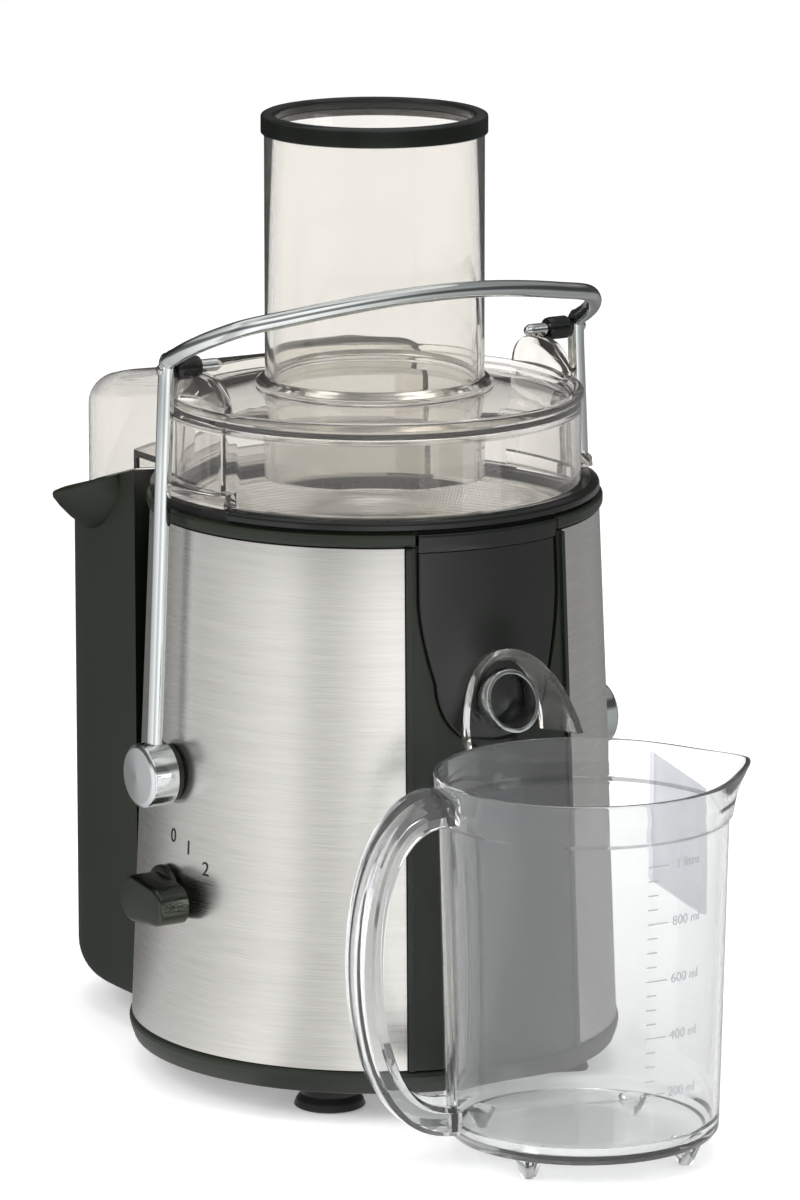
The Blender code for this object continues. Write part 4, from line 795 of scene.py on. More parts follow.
def d_outline(radius, inner_radius, steps=48):
    """Plan of a D that hugs the round body: half-round end, straight sides, hollow front."""
    points = []
    for i in range(steps + 1):
        angle = math.pi * i / steps
        points.append((radius * math.cos(angle), BIN_Y + radius * math.sin(angle)))
    corner = math.asin(min(radius / inner_radius, 1.0))
    for i in range(steps + 1):
        angle = -corner + 2 * corner * i / steps
        points.append((inner_radius * math.sin(angle), CENTRE[1] + inner_radius * math.cos(angle)))
    return points


def domed(radius, inner_radius, low, high, corner):
    """A D prism whose upper edge is rounded off."""
    rings = [[(x, y, low) for x, y in d_outline(radius, inner_radius)]]
    for i in range(9):
        angle = math.radians(90 * i / 8)
        inset = corner * (1 - math.cos(angle))
        rise = corner * (1 - math.sin(angle))
        rings.append([(x, y, high(y) - rise) for x, y in d_outline(radius - inset, inner_radius)])
    return rings


lid = turned("lid_moulding",
             [(inner, LID_LOW, 0.0003), (LID_R, LID_LOW, 0.0004), (LID_R, LID_TOP - 0.0036, 0.0006),
              (LID_R + 0.0010, LID_TOP - 0.0026, 0.0009), (LID_R + 0.0008, LID_TOP, 0.0012),
              (LID_R - 0.0030, LID_TOP, 0.0012), (LID_R - 0.0042, PLATE_OUT, 0.0012),
              (HOLE + 0.003, PLATE_IN, 0.003),
              (HOLE, PLATE_IN, 0.0002), (HOLE, PLATE_IN - 0.0024, 0.0002),
              (HOLE + 0.003, PLATE_IN - 0.0024, 0.003),
              (LID_R - 0.0044, PLATE_OUT - 0.0024, 0.0012), (inner, PLATE_OUT - 0.0044, 0.002)],
             CLEAR_SAN, "housing", ("lid",), sides=160)
wall_mid = LID_R - 0.0013
upper = domed(HOOD_R, wall_mid, LID_LOW + 0.0003, hood_top, 0.011)
skirt_in = BIN_HUG + BIN_WALL + BIN_SIDE_GAP
skirt = [[(x, y, bin_rim(y) + 0.001) for x, y in d_outline(HOOD_R, skirt_in)],
         [(x, y, LID_LOW + 0.002) for x, y in d_outline(HOOD_R, skirt_in)]]
room = HOOD_R - HOOD_WALL
space = domed(room, wall_mid + 0.0006, LID_LOW + 0.0025, lambda y: hood_top(y) - HOOD_WALL, 0.009)
outlet = [[(x, y, bin_rim(y) - 0.006) for x, y in d_outline(room, skirt_in + HOOD_WALL)],
          [(x, y, LID_LOW + 0.006) for x, y in d_outline(room, skirt_in + HOOD_WALL)]]


def box_rings(low, high):
    (x0, y0, z0), (x1, y1, z1) = low, high
    return [[(x0, y0, z), (x1, y0, z), (x1, y1, z), (x0, y1, z)] for z in (z0, z1)]


window = box_rings((-0.048, 0.045 + CENTRE[1], LID_LOW + 0.0025),
                   (0.048, 0.086 + CENTRE[1], PLATE_OUT - 0.0054))
carve(lid, [tool("hood_upper", upper), tool("hood_skirt", skirt)], "UNION")
carve(lid, [tool("hood_space", space), tool("hood_outlet", outlet), tool("pulp_window", window)])

EAR_TOP = lid_high.z
EAR_HALF = 0.020


def ear_rings(side):
    """An arched tab with rounded edges."""
    foot = LID_TOP - 0.008
    rings = []
    x_out, x_in = LID_R - 0.0019, LID_R - 0.0057
    for x, shrink in ((x_in, 0.0007), (x_in + 0.0003, 0.0002), (x_in + 0.0008, 0), (x_out - 0.0008, 0),
                      (x_out - 0.0003, 0.0002), (x_out, 0.0007)):
        row = []
        for i in range(33):
            angle = math.pi * i / 32
            flat = math.cos(angle)
            y = (EAR_HALF - shrink) * math.copysign(abs(flat) ** 0.78, flat)
            row.append((side * x, CENTRE[1] + y,
                        foot + 0.004 + (EAR_TOP - shrink - foot - 0.004) * math.sin(angle) ** 0.8))
        row += [(side * x, CENTRE[1] - EAR_HALF + shrink, foot),
                (side * x, CENTRE[1] + EAR_HALF - shrink, foot)]
        rings.append(row)
    return rings


def sector_rings(section, middle, half, steps):
    points = soften(section)
    rings = []
    for i in range(steps + 1):
        angle = math.radians(middle - half + 2 * half * i / steps)
        rings.append([(CENTRE[0] + r * math.sin(angle), CENTRE[1] - r * math.cos(angle), z) for r,
                      z in points])
    return rings


ears = []
for side in (-1, 1):
    ears.append(tool("ear_%d" % side, ear_rings(side)))
    ledge = [(LID_R - 0.0010, LID_LOW + 0.0002, 0), (BEZEL_R - 0.0010, LID_LOW + 0.0002, 0.0008),
             (BEZEL_R - 0.0016, LID_LOW + 0.0052, 0.0018), (LID_R - 0.0010, LID_LOW + 0.0060, 0)]
    ears.append(tool("ledge_%d" % side, sector_rings(ledge, side * 90, 18, 24)))
    panel = [(LID_R - 0.0012, LID_LOW + 0.0035, 0), (LID_R + 0.0026, LID_LOW + 0.0035, 0.0006),
             (LID_R + 0.0024, LID_TOP - 0.0062, 0.0010), (LID_R - 0.0012, LID_TOP - 0.0050, 0)]
    ears.append(tool("panel_%d" % side, sector_rings(panel, side * 90, 14, 20)))
carve(lid, ears, "UNION")
resmooth(lid, 38)

seat = PLATE_IN + 0.0003
bore_r = CHUTE_R - 0.003
turned("feed_chute_tube", [(bore_r, chute_low.z, 0.0004), (CHUTE_R, chute_low.z, 0.0004),
                           (CHUTE_R, seat, 0.0002),
                           (CHUTE_R + 0.0032, seat, 0.0004), (CHUTE_R + 0.0036, seat + 0.0016, 0.0008),
                           (CHUTE_R + 0.0016, seat + 0.0032, 0.0010), (CHUTE_R, seat + 0.0040, 0.0008),
                           (CHUTE_R, chute_high.z, 0.0004), (bore_r, chute_high.z, 0.0004)],
       CLEAR_SAN, "housing", ("feed_chute",), sides=128)
rim_low, rim_high = span("chute_rim")
lip = (rim_high.x - rim_low.x) / 2
turned("chute_rim_band", [(bore_r - 0.0008, chute_high.z + 0.0003, 0.0003), (CHUTE_R + 0.0003,
                                                                             chute_high.z + 0.0003, 0),
                          (CHUTE_R + 0.0003, rim_low.z, 0.0002), (lip, rim_low.z, 0.0004),
                          (lip, rim_high.z - 0.0006, 0.0012), (lip - 0.0014, rim_high.z, 0.0008),
                          (bore_r, rim_high.z, 0.0008), (bore_r - 0.0008, rim_high.z - 0.001, 0.0006)],
       GLOSS_ABS, "housing", ("chute_rim",))
print("lid %.0f to %.0f mm, chute radius %.1f mm" % (LID_LOW / MM, LID_TOP / MM, CHUTE_R / MM))

# %% [markdown]
# ## Filter basket and grater
#
# The basket is a cone of perforated sheet, clamped in a rolled rim. Its holes are 0.5 mm
# wide on a 1.2 mm pitch, drawn as faint dots by the finish. The grater disc at its foot
# carries rows of small raised teeth, which are real geometry here: each is a little
# three-sided cone.

# %% Basket and grater
def perforated(name, pitch_mm):
    """Steel with rows of fine holes, counted round the axis and along the slope."""
    material = brushed_steel(name, ("#d6d5d2", "#eceae7"), 0.16, 1.5)
    tree = material.node_tree
    shader = tree.nodes["Principled BSDF"]
    place = add(tree, "ShaderNodeNewGeometry")
    parts = add(tree, "ShaderNodeSeparateXYZ", Vector=(place, "Position"))
    y_part = add(tree, "ShaderNodeMath", {"operation": "SUBTRACT"}, _0=(parts, "Y"), _1=SPINDLE.y)
    bearing = add(tree, "ShaderNodeMath", {"operation": "ARCTAN2"}, _0=(y_part, 0), _1=(parts, "X"))
    turns = add(tree, "ShaderNodeMath", {"operation": "MULTIPLY"}, _0=(bearing, 0),
                _1=2 * math.pi * 57 / pitch_mm / (2 * math.pi))
    rows = add(tree, "ShaderNodeMath", {"operation": "MULTIPLY"}, _0=(parts, "Z"), _1=1.25 / (pitch_mm * MM))
    dots = []
    for source in (turns, rows):
        wave = add(tree, "ShaderNodeMath", {"operation": "MULTIPLY"}, _0=(source, 0), _1=2 * math.pi)
        dots.append(add(tree, "ShaderNodeMath", {"operation": "SINE"}, _0=(wave, 0)))
    both = add(tree, "ShaderNodeMath", {"operation": "ADD"}, _0=(dots[0], 0), _1=(dots[1], 0))
    hole = add(tree, "ShaderNodeMapRange", Value=(both, 0), From_Min=0.75, From_Max=1.25)
    old = shader.inputs["Base Color"].links[0].from_socket
    mix = add(tree, "ShaderNodeMix", {"data_type": "RGBA"}, Factor=(hole, 0))
    tree.links.new(old, mix.inputs[6])
    mix.inputs[7].default_value = linear("#b4b3b0")
    tree.links.new(mix.outputs[2], shader.inputs["Base Color"])
    return material


basket_low, basket_high = span("filter_basket")
BASKET_R = (basket_high.x - basket_low.x) / 2
disc_low, disc_high = span("grater_disc")
GRATER_R = (disc_high.x - disc_low.x) / 2
floor_r = GRATER_R + 0.002
turned("basket_cone", [(floor_r - 0.0009, basket_low.z + 0.0012, 0.0002),
                       (BASKET_R - 0.0040, basket_high.z - 0.0012, 0.001),
                       (BASKET_R - 0.0030, basket_high.z - 0.0024, 0.001), (floor_r, basket_low.z, 0.0002)],
       perforated("perforated_filter_sheet", 1.2), "spinner", ("filter_basket",))
turned("basket_rim", [(BASKET_R - 0.0042, basket_high.z - 0.0024, 0.0008),
                      (BASKET_R - 0.0010, basket_high.z - 0.0030, 0.001),
                      (BASKET_R, basket_high.z - 0.0012, 0.001), (BASKET_R - 0.0010, basket_high.z, 0.001),
                      (BASKET_R - 0.0042, basket_high.z - 0.0002, 0.001)],
       STEEL, "spinner")
turned("basket_floor", [(0.0056, basket_low.z, 0), (floor_r, basket_low.z, 0.0003),
                        (floor_r, basket_low.z + 0.0012, 0.0003),
                        (0.009, basket_low.z + 0.0012, 0.0004), (0.009, basket_low.z + 0.007, 0.0008),
                        (0.0056, basket_low.z + 0.007, 0.0004)],
       FILTER_STEEL, "spinner")
turned("grater_plate", [(0.0093, disc_low.z, 0), (GRATER_R, disc_low.z, 0.0003),
                        (GRATER_R, disc_high.z, 0.0003),
                        (0.0093, disc_high.z, 0.0003)], FILTER_STEEL, "spinner", ("grater_disc",))
bm = bmesh.new()
teeth = 0
for row in range(7):
    radius = 0.0135 + row * 0.0036
    count = int(2 * math.pi * radius / 0.0052)
    for k in range(count):
        angle = 2 * math.pi * (k + 0.5 * (row % 2)) / count
        at = Vector((CENTRE[0] + radius * math.cos(angle), CENTRE[1] + radius * math.sin(angle),
                     disc_high.z - 0.0001))
        lean = Vector((-math.sin(angle), math.cos(angle), 0)) * 0.0006
        base = [bm.verts.new(at + Vector((0.0010 * math.cos(angle + a), 0.0010 * math.sin(angle + a),
                                          0))) for a in (0, 2.094, 4.189)]
        tip = bm.verts.new(at + lean + Vector((0, 0, 0.0017)))
        bm.faces.new(base[::-1])
        for i in range(3):
            bm.faces.new((base[i], base[(i + 1) % 3], tip))
        teeth += 1
finish_piece("grater_teeth", bm, FILTER_STEEL, "spinner", sharp=10)
print("grater teeth:", teeth)

# %% [markdown]
# ## Bail latch
#
# One 6.5 mm chromed rod rises from each hinge, turns forward above the ears and crosses
# in front of the chute. Rubber sleeves hold the two chromed pins that press the lid down.
# Each hinge is hidden by a domed chrome cap.

# %% Bail
rod_low, rod_high = span("bail_rod")
pin_low, pin_high = span("latch_pin_right")
sleeve_low, sleeve_high = span("latch_sleeve_right")
cap_low, cap_high = span("hinge_cap_right")
washer_low, washer_high = span("hinge_washer_right")
ROD = 0.00325
PIN = (pin_low + pin_high) / 2
PIN_R = (pin_high.z - pin_low.z) / 2
bend = PIN.z + 0.005
ARM_LOW, ARM_TOP = rod_high.x - ROD, sleeve_high.x + 0.0005 + ROD
half_path = [Vector((ARM_LOW, 0, rod_low.z - 0.004)), Vector((ARM_LOW - 0.0022, 0, rod_low.z + 0.045)),
             Vector((ARM_TOP + 0.0018, 0, bend - 0.045)), Vector((ARM_TOP, 0, bend - 0.006))]
for x, reach in ((0.0001, 0.0022), (0.0006, 0.008), (0.0025, 0.0155), (0.0075, 0.024), (0.016, 0.032)):
    half_path.append(Vector((ARM_TOP - x, -reach, bend - 0.0025 + 0.53 * reach)))
for i in range(1, 6):
    share = i / 5
    reach = 0.032 + 0.018 * math.sin(share * math.pi / 2)
    half_path.append(Vector(((ARM_TOP - 0.016) * (1 - share), -reach, bend - 0.0025 + 0.53 * reach)))
points = [p + Vector((0, CENTRE[1], 0)) for p in half_path]
mirrored = [Vector((-p.x, p.y, p.z)) for p in points[:-1]]
bm = bmesh.new()
skin(bm, swept_rings(smooth_path(mirrored + points[::-1], 6), round_section(ROD, 28)))
finish_piece("bail_bar", bm, CHROME, "bail", ("bail_rod",), sharp=60)
for side, word in ((-1, "left"), (1, "right")):
    middle = (CENTRE[1], HINGE.z)
    cap_r = (cap_high.z - cap_low.z) / 2
    turned("cap_" + word, [(0.0, side * cap_low.x, 0), (cap_r, side * cap_low.x, 0.0004),
                           (cap_r, side * (cap_high.x - 0.0010), 0.0014),
                           (cap_r - 0.0016, side * (cap_high.x + 0.0002), 0.0012),
                           (0.0, side * (cap_high.x + 0.0006), 0)],
           CHROME, "bail", ("hinge_cap_" + word,), centre=middle, axis="X", sides=96,
           ring=False, steps=6)
    washer_r = (washer_high.z - washer_low.z) / 2
    turned("washer_" + word, [(0.0, side * washer_low.x, 0), (washer_r, side * washer_low.x, 0.0003),
                              (washer_r, side * washer_high.x, 0.0005), (0.0, side * washer_high.x, 0)],
           SATIN_ABS, "housing", ("hinge_washer_" + word, "hinge_bolt_" + word), centre=middle,
           axis="X", sides=72, ring=False)
    sleeve_r = (sleeve_high.z - sleeve_low.z) / 2
    at = (CENTRE[1], PIN.z)
    turned("sleeve_" + word, [(0.0, side * sleeve_low.x, 0), (sleeve_r * 0.9, side * sleeve_low.x, 0.0006),
                              (sleeve_r, side * (sleeve_low.x + 0.002), 0.0008),
                              (sleeve_r, side * (sleeve_high.x - 0.001), 0.0012),
                              (sleeve_r * 0.7, side * sleeve_high.x, 0.0008), (0.0, side * sleeve_high.x, 0)],
           GLOSS_ABS, "bail", ("latch_sleeve_" + word,), centre=at, axis="X", sides=40,
           ring=False)
    turned("pin_" + word, [(0.0, side * pin_low.x, 0), (PIN_R * 0.55, side * (pin_low.x + 0.0001), 0.0008),
                           (PIN_R, side * (pin_low.x + 0.0020), 0.0012),
                           (PIN_R, side * pin_high.x, 0), (0.0, side * pin_high.x, 0)],
           CHROME, "bail", ("latch_pin_" + word,), centre=at, axis="X", sides=40,
           ring=False)
    turned("rivet_" + word, [(0.0, side * (ARM_TOP + ROD - 0.0012), 0),
                             (0.0020, side * (ARM_TOP + ROD - 0.0008), 0.0002),
                             (0.0020, side * (ARM_TOP + ROD + 0.0004), 0.0006),
                             (0.0, side * (ARM_TOP + ROD + 0.0007), 0)], CHROME, "bail", centre=at,
           axis="X", sides=32, ring=False)
print("bail rod 6.5 mm, caps %.0f mm across" % (2 * cap_r / MM))

# %% [markdown]
# ## Speed knob and its figures
#
# The knob is a paddle on a round collar, metallised to a dark smoky chrome, and it points
# at the chosen speed. The figures 0, 1 and 2 are printed on the steel on an arc round it.

# %% Knob
knob_low, knob_high = span("speed_knob")
FACE = body_radius(KNOB.z) + 0.001
collar_r = (knob_high.z - knob_low.z) / 2
HUB_R, TIP_R = 0.0092, 0.0076
REACH = CENTRE[1] - knob_low.y - TIP_R
turned("knob_collar", [(0.0, -FACE, 0), (collar_r - 0.0024, -FACE, 0.0003), (collar_r - 0.0024,
                                                                             -(FACE + 0.0016), 0.001),
                       (collar_r - 0.0046, -(FACE + 0.0030), 0.001), (0.0, -(FACE + 0.0030), 0)],
       SMOKED, "knob", ("speed_knob",), centre=(CENTRE[1], KNOB.z), axis="X", sides=72,
       ring=False)


def paddle_outline(shrink):
    points = []
    for i in range(25):
        angle = math.radians(-90 + 180 * i / 24)
        points.append(((HUB_R - shrink) * math.cos(angle), KNOB.z + (HUB_R - shrink) * math.sin(angle)))
    for i in range(19):
        angle = math.radians(90 + 180 * i / 18)
        points.append((-REACH + (TIP_R - shrink) * math.cos(angle),
                       KNOB.z + (TIP_R - shrink) * math.sin(angle)))
    return points


x_in, x_out = -(FACE + 0.0026), knob_low.x
levels = [(x_in, 0.0)]
for i in range(7):
    angle = math.radians(90 * i / 6)
    levels.append((x_out + 0.0022 * (1 - math.sin(angle)), 0.0022 * (1 - math.cos(angle))))
bm = bmesh.new()
skin(bm, [[(x, CENTRE[1] + y, z) for y, z in paddle_outline(shrink)] for x, shrink in levels])
finish_piece("knob_paddle", bm, SMOKED, "knob", sharp=50)


def printed(text, size, material, body, make_place):
    """Flat text turned into a mesh, each corner carried onto a surface by make_place."""
    curve = bpy.data.curves.new("figure_" + text, "FONT")
    curve.body = text
    curve.size = size
    curve.align_x = "CENTER"
    curve.align_y = "CENTER"
    curve.resolution_u = 4
    curve.extrude = 0.00006
    thing = bpy.data.objects.new("figure", curve)
    bpy.context.scene.collection.objects.link(thing)
    bpy.context.view_layer.update()
    mesh = bpy.data.meshes.new_from_object(thing.evaluated_get(bpy.context.evaluated_depsgraph_get()))
    bpy.data.objects.remove(thing, do_unlink=True)
    bpy.data.curves.remove(curve)
    for v in mesh.vertices:
        v.co = make_place(v.co.x, v.co.y, v.co.z)
    mesh.materials.clear()
    mesh.materials.append(material)
    piece = bpy.data.objects.new("mark_" + text.replace(" ", "_"), mesh)
    bpy.context.scene.collection.objects.link(piece)
    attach(piece, body)
    return piece


def on_left_flank(y_off, z_mid):
    """Carries flat text onto the steel at the knob's side; its right points to the front."""
    def place(a, b, c):
        z = z_mid + b
        radius = body_radius(z) + 0.0001 + c
        bearing = math.asin((y_off + a) / radius)
        return Vector((-radius * math.cos(bearing), CENTRE[1] - radius * math.sin(bearing), z))
    return place


for text, y_off, z_off in (("0", 0.0030, 0.0234), ("1", 0.0132, 0.0205), ("2", 0.0233, 0.0140)):
    printed(text, 0.0078, DARK_INK, "housing", on_left_flank(y_off, KNOB.z + z_off))
print("knob reach %.1f mm" % (REACH / MM))

# %% [markdown]
# ## Pulp container
#
# A deep tub of satin ABS that hugs the body. Its floor and its wall meet in a large
# radius, its rim slopes down to the back, and each side has a wedge to lift it by.

# %% Pulp container
BIN_R = 0.066
rings = []
for i in range(9):
    angle = math.radians(90 * i / 8)
    z = bin_low.z + 0.014 * (1 - math.cos(angle))
    rings.append([(x, y, z) for x, y in d_outline(BIN_R - 0.010 * (1 - math.sin(angle)), BIN_HUG)])
rings.append([(x, y, bin_rim(y) - 0.0006) for x, y in d_outline(BIN_R, BIN_HUG)])
rings.append([(x, y, bin_rim(y)) for x, y in d_outline(BIN_R - 0.0006, BIN_HUG + 0.0004)])
rings.append([(x, y, bin_rim(y)) for x, y in d_outline(BIN_R - BIN_WALL + 0.0006,
                                                       BIN_HUG + BIN_WALL - 0.0004)])
rings.append([(x, y, bin_rim(y) - 0.0008) for x, y in d_outline(BIN_R - BIN_WALL, BIN_HUG + BIN_WALL)])
rings.append([(x, y, bin_low.z + 0.016) for x, y in d_outline(BIN_R - BIN_WALL, BIN_HUG + BIN_WALL)])
rings.append([(x, y, bin_low.z + BIN_WALL) for x, y in d_outline(BIN_R - BIN_WALL - 0.009,
                                                                 BIN_HUG + BIN_WALL)])
bm = bmesh.new()
skin(bm, rings)
finish_piece("tub", bm, SATIN_ABS, "pulp_bin", ("pulp_container",))
for side in (-1, 1):
    wedge = []
    x0, x1 = side * (BIN_R - 0.0012), side * bin_high.x
    for k in range(13):
        y = BIN_Y - 0.020 + 0.040 * k / 12
        share = math.cos(math.radians(86 * (k - 6) / 6)) ** 0.7
        level = bin_rim(y)
        wedge.append([(x0 + (x1 - x0) * out * share, y, level - down * (0.3 + 0.7 * share)) for out,
                      down in ((0, 0.0003), (0.7, 0.0012), (0.96, 0.0024), (1, 0.0036), (0.98, 0.0052),
                               (0.80, 0.0092), (0.52, 0.0142), (0.24, 0.0180), (0.08, 0.0196),
                               (0, 0.0200))])
    bm = bmesh.new()
    skin(bm, wedge)
    grip = finish_piece("grip_%s" % ("left" if side < 0 else "right"), bm, SATIN_ABS, "pulp_bin")
    resmooth(grip, 50)
print("container rim %.0f to %.0f mm high" % (bin_rim(BIN_Y + BIN_R) / MM, bin_high.z / MM))

# %% [markdown]
# ## Juice jug
#
# A clear litre jug: a slightly tapered wall, a wider collar with a pouring lip, a flat
# looped handle with a rib along each edge, and four little feet. A froth separator hangs
# inside near the lip. The raised marks up the wall count to a litre.

# %% Jug
jug_high = span("juice_jug")[1]
TURN = math.radians(-14.5)
JUG = Vector((0.0, -0.151 + CENTRE[1], 0.0))
JUG_TOP = jug_high.z
COLLAR = JUG_TOP - 0.015
FOOT = 0.008
R_LOW, R_HIGH, R_RIM = 0.0515, 0.0546, 0.0562
LIP = 0.0093
WALL = 0.0022


def jug_point(radius, bearing, z):
    angle = math.radians(bearing) + TURN
    return (JUG.x + radius * math.cos(angle), JUG.y + radius * math.sin(angle), z)


def jug_ring(radius, z, lip, sides=160):
    points = []
    for i in range(sides):
        bearing = 360 * i / sides
        off = min(bearing, 360 - bearing)
        bulge = lip * math.exp(-(off / 17.0) ** 1.5)
        rise = bulge * 0.12 if z > COLLAR + 0.008 else 0.0
        points.append(jug_point(radius + bulge, bearing, z + rise))
    return points


wall_profile = [(R_LOW - 0.012, FOOT - 0.0006, 0.002), (R_LOW - 0.0016, FOOT, 0.0012),
                (R_LOW, FOOT + 0.0022, 0.0015), (R_HIGH - 0.0002, COLLAR - 0.0016, 0.001),
                (R_RIM - 0.0004, COLLAR, 0.001), (R_RIM - 0.0004, COLLAR + 0.007, 0.003),
                (R_RIM, JUG_TOP - 0.0002, 0.0009), (R_RIM - WALL, JUG_TOP, 0.0009),
                (R_RIM - 0.0004 - WALL, COLLAR + 0.006, 0.003), (R_HIGH - WALL, COLLAR - 0.0026, 0.002),
                (R_LOW + 0.0002 - WALL, FOOT + 0.007, 0.004), (R_LOW - 0.0060, FOOT + WALL + 0.0004,
                                                               0.003), (R_LOW - 0.016, FOOT + WALL,
                                                                        0.002)]


def lip_share(z):
    """The lip begins at the collar and is full at the rim."""
    return LIP * min(max((z - COLLAR + 0.001) / (JUG_TOP - COLLAR), 0.0), 1.0) ** 1.3


bm = bmesh.new()
skin(bm, [jug_ring(r, z, lip_share(z)) for r, z in soften(wall_profile, 4, closed=False)])
jug = finish_piece("jug_wall", bm, JUG_SAN, "jug", ("juice_jug",), sharp=35)


def handle_rings(width, thick, rib):
    """Section of the handle carried along its loop, wide and flat with a rib at each edge."""
    top_z, low_z = JUG_TOP - 0.009, FOOT + 0.009
    middle, height = (top_z + low_z) / 2, (top_z - low_z) / 2
    root = R_LOW - 0.0002
    reach = 0.090 - 0.00425 - root
    rows = []
    for i in range(49):
        angle = math.radians(90 - 180 * i / 48)
        r = root + reach * max(math.cos(angle), 0.0) ** 0.72
        z = middle + height * math.sin(angle)
        out, up = math.cos(angle), math.sin(angle)
        flare = 1 + 0.35 * abs(math.sin(angle)) ** 6
        row = []
        for a, b in ((-1, -1), (-0.72, -1 - rib), (-0.45, -1 - rib), (-0.3, -0.6), (0.3, -0.6),
                     (0.45, -1 - rib), (0.72, -1 - rib), (1, -1),
                     (1, 0.5), (0.8, 0.95), (0, 1.12), (-0.8, 0.95), (-1, 0.5)):
            w = width / 2 * a * flare
            t = thick / 2 * b
            radius = r + t * out
            row.append(jug_point(math.hypot(radius, w), 180 + math.degrees(math.atan2(w, radius)),
                                 z + t * up))
        rows.append(row)
    return rows


carve(jug, [tool("handle", handle_rings(0.020, 0.0098, 0.18))], "UNION")
feet = []
for i in range(4):
    x, y, _ = jug_point(R_LOW - 0.008, 45 + 90 * i, 0)
    feet.append(tool("jug_foot_%d" % i, [ring_points(r, z, (x, y), "Z", 32) for r, z in
                                         ((0.0022, 0.0), (0.0028, 0.0006), (0.0058, FOOT),
                                          (0.0058, FOOT + 0.0010))]))
carve(jug, feet, "UNION")
round_edges(jug, 0.0006, 48, 2)

sep_low, sep_high = span("froth_separator")
plate_half = math.sqrt((R_LOW - 0.003) ** 2 - 0.0378 ** 2)
rings = []
for z in (sep_low.z, sep_high.z):
    rings.append([jug_point(math.hypot(o, a), math.degrees(math.atan2(a, o)), z) for o,
                  a in ((0.036, -plate_half), (0.0378, -plate_half), (0.0378, plate_half),
                        (0.036, plate_half))])
bm = bmesh.new()
skin(bm, rings)
plate = finish_piece("froth_plate", bm, SHEET_SAN, "jug", ("froth_separator",))
round_edges(plate, 0.0005, 40)


def on_jug(bearing, z_mid):
    def place(a, b, c):
        z = z_mid + b
        radius = R_LOW + (R_HIGH - R_LOW) * (z - FOOT) / (COLLAR - FOOT) + 0.0001 + c
        return Vector(jug_point(radius, bearing + math.degrees(a / radius), z))
    return place


for text, z in (("200 ml", 0.034), ("400 ml", 0.0559), ("600 ml", 0.0778), ("800 ml", 0.0997),
                ("1 litre", 0.1216)):
    printed(text, 0.0052, PALE_INK, "jug", on_jug(-63, z))
bm = bmesh.new()
for k in range(17):
    z = 0.0340 + 0.005475 * k
    long_mark = 0.0085 if k % 4 == 0 else 0.0040
    place = on_jug(-82, z)
    corners = [place(a, b, 0.0) for a, b in ((0, -0.00022), (long_mark, -0.00022), (long_mark, 0.00022),
                                             (0, 0.00022))]
    outer = [place(a, b, 0.0003) for a, b in ((0, -0.00022), (long_mark, -0.00022),
                                              (long_mark, 0.00022), (0, 0.00022))]
    skin(bm, [corners, outer])
finish_piece("jug_ticks", bm, PALE_INK, "jug", sharp=30)
print("jug %.0f mm high" % (JUG_TOP / MM))

# %% [markdown]
# ## Pieces that stay as packed
#
# The motor and switches sit inside the shell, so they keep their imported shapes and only
# take the true finish of each material.

# %% Inner finishes
INNER = {"motor_housing": SATIN_ABS, "cord_gland": RUBBER, "drive_coupling": RUBBER,
         "motor_shaft": MACHINED, "armature_core": LAMINATION, "armature_winding": COPPER,
         "commutator": COPPER, "cooling_fan": SATIN_ABS, "stator_core": LAMINATION,
         "field_coil_lower": COPPER, "field_coil_upper": COPPER, "lower_bearing": MACHINED,
         "upper_bearing": MACHINED, "lower_motor_bracket": DIE_CAST, "upper_motor_bracket": DIE_CAST,
         "brush_left": CARBON, "brush_right": CARBON, "rotary_switch": SATIN_ABS,
         "safety_switch": SATIN_ABS, "speed_board": BOARD, }
for name, node in NODES.items():
    finish = INNER.get(name)
    if name.startswith("motor_mount"):
        finish = RUBBER
    if name.startswith("base_screw"):
        finish = MACHINED
    if finish:
        node.data.materials.clear()
        node.data.materials.append(finish)
shown = [name for name, node in NODES.items() if not node.hide_render]
print("packed pieces still shown:", len(shown))

# %% [markdown]
# ## Studio
#
# The camera sees plain white. Chrome and steel show only what surrounds them, so a tent
# that only glossy surfaces see stands round the machine. Its panels run from grey to white
# by bearing, which gives the steel its upright bands, and a darker belt crosses it at the
# height of the lid. Three soft lights and a pale floor do the rest.

# %% World and lights
world = bpy.data.worlds.new("studio")
bpy.context.scene.world = world
world.use_nodes = True
tree = world.node_tree
tree.nodes.clear()
VIEW = Vector((-0.515, -0.857, 0.0)).normalized()
ACROSS = Vector((0.857, -0.515, 0.0)).normalized()
where = add(tree, "ShaderNodeTexCoord")
front = add(tree, "ShaderNodeVectorMath", {"operation": "DOT_PRODUCT"}, _0=(where, "Generated"),
            _1=tuple(VIEW))
aside = add(tree, "ShaderNodeVectorMath", {"operation": "DOT_PRODUCT"}, _0=(where, "Generated"),
            _1=tuple(ACROSS))
bearing = add(tree, "ShaderNodeMath", {"operation": "ARCTAN2"}, _0=(aside, "Value"), _1=(front, "Value"))
turn = add(tree, "ShaderNodeMapRange", Value=(bearing, 0), From_Min=-math.pi, From_Max=math.pi)
walls = ramp(tree, (turn, 0), [(0.0, "#f2f2f2"), (0.18, "#fafafa"), (0.26, "#ffffff"),
                               (0.33, "#d0d0d0"), (0.38, "#8c8c8c"), (0.44, "#f4f4f4"),
                               (0.50, "#c6c6c6"), (0.57, "#8a8a8a"), (0.66, "#e4e4e4"),
                               (0.76, "#ffffff"), (1.0, "#f2f2f2")])
parts = add(tree, "ShaderNodeSeparateXYZ", Vector=(where, "Generated"))
height = add(tree, "ShaderNodeMapRange", Value=(parts, "Z"), From_Min=-0.5, From_Max=0.8)
ceiling = ramp(tree, (height, 0), [(0.0, "#e6e6e6"), (0.38, "#e9e9e9"), (0.7, "#ffffff"), (1.0, "#ffffff")])
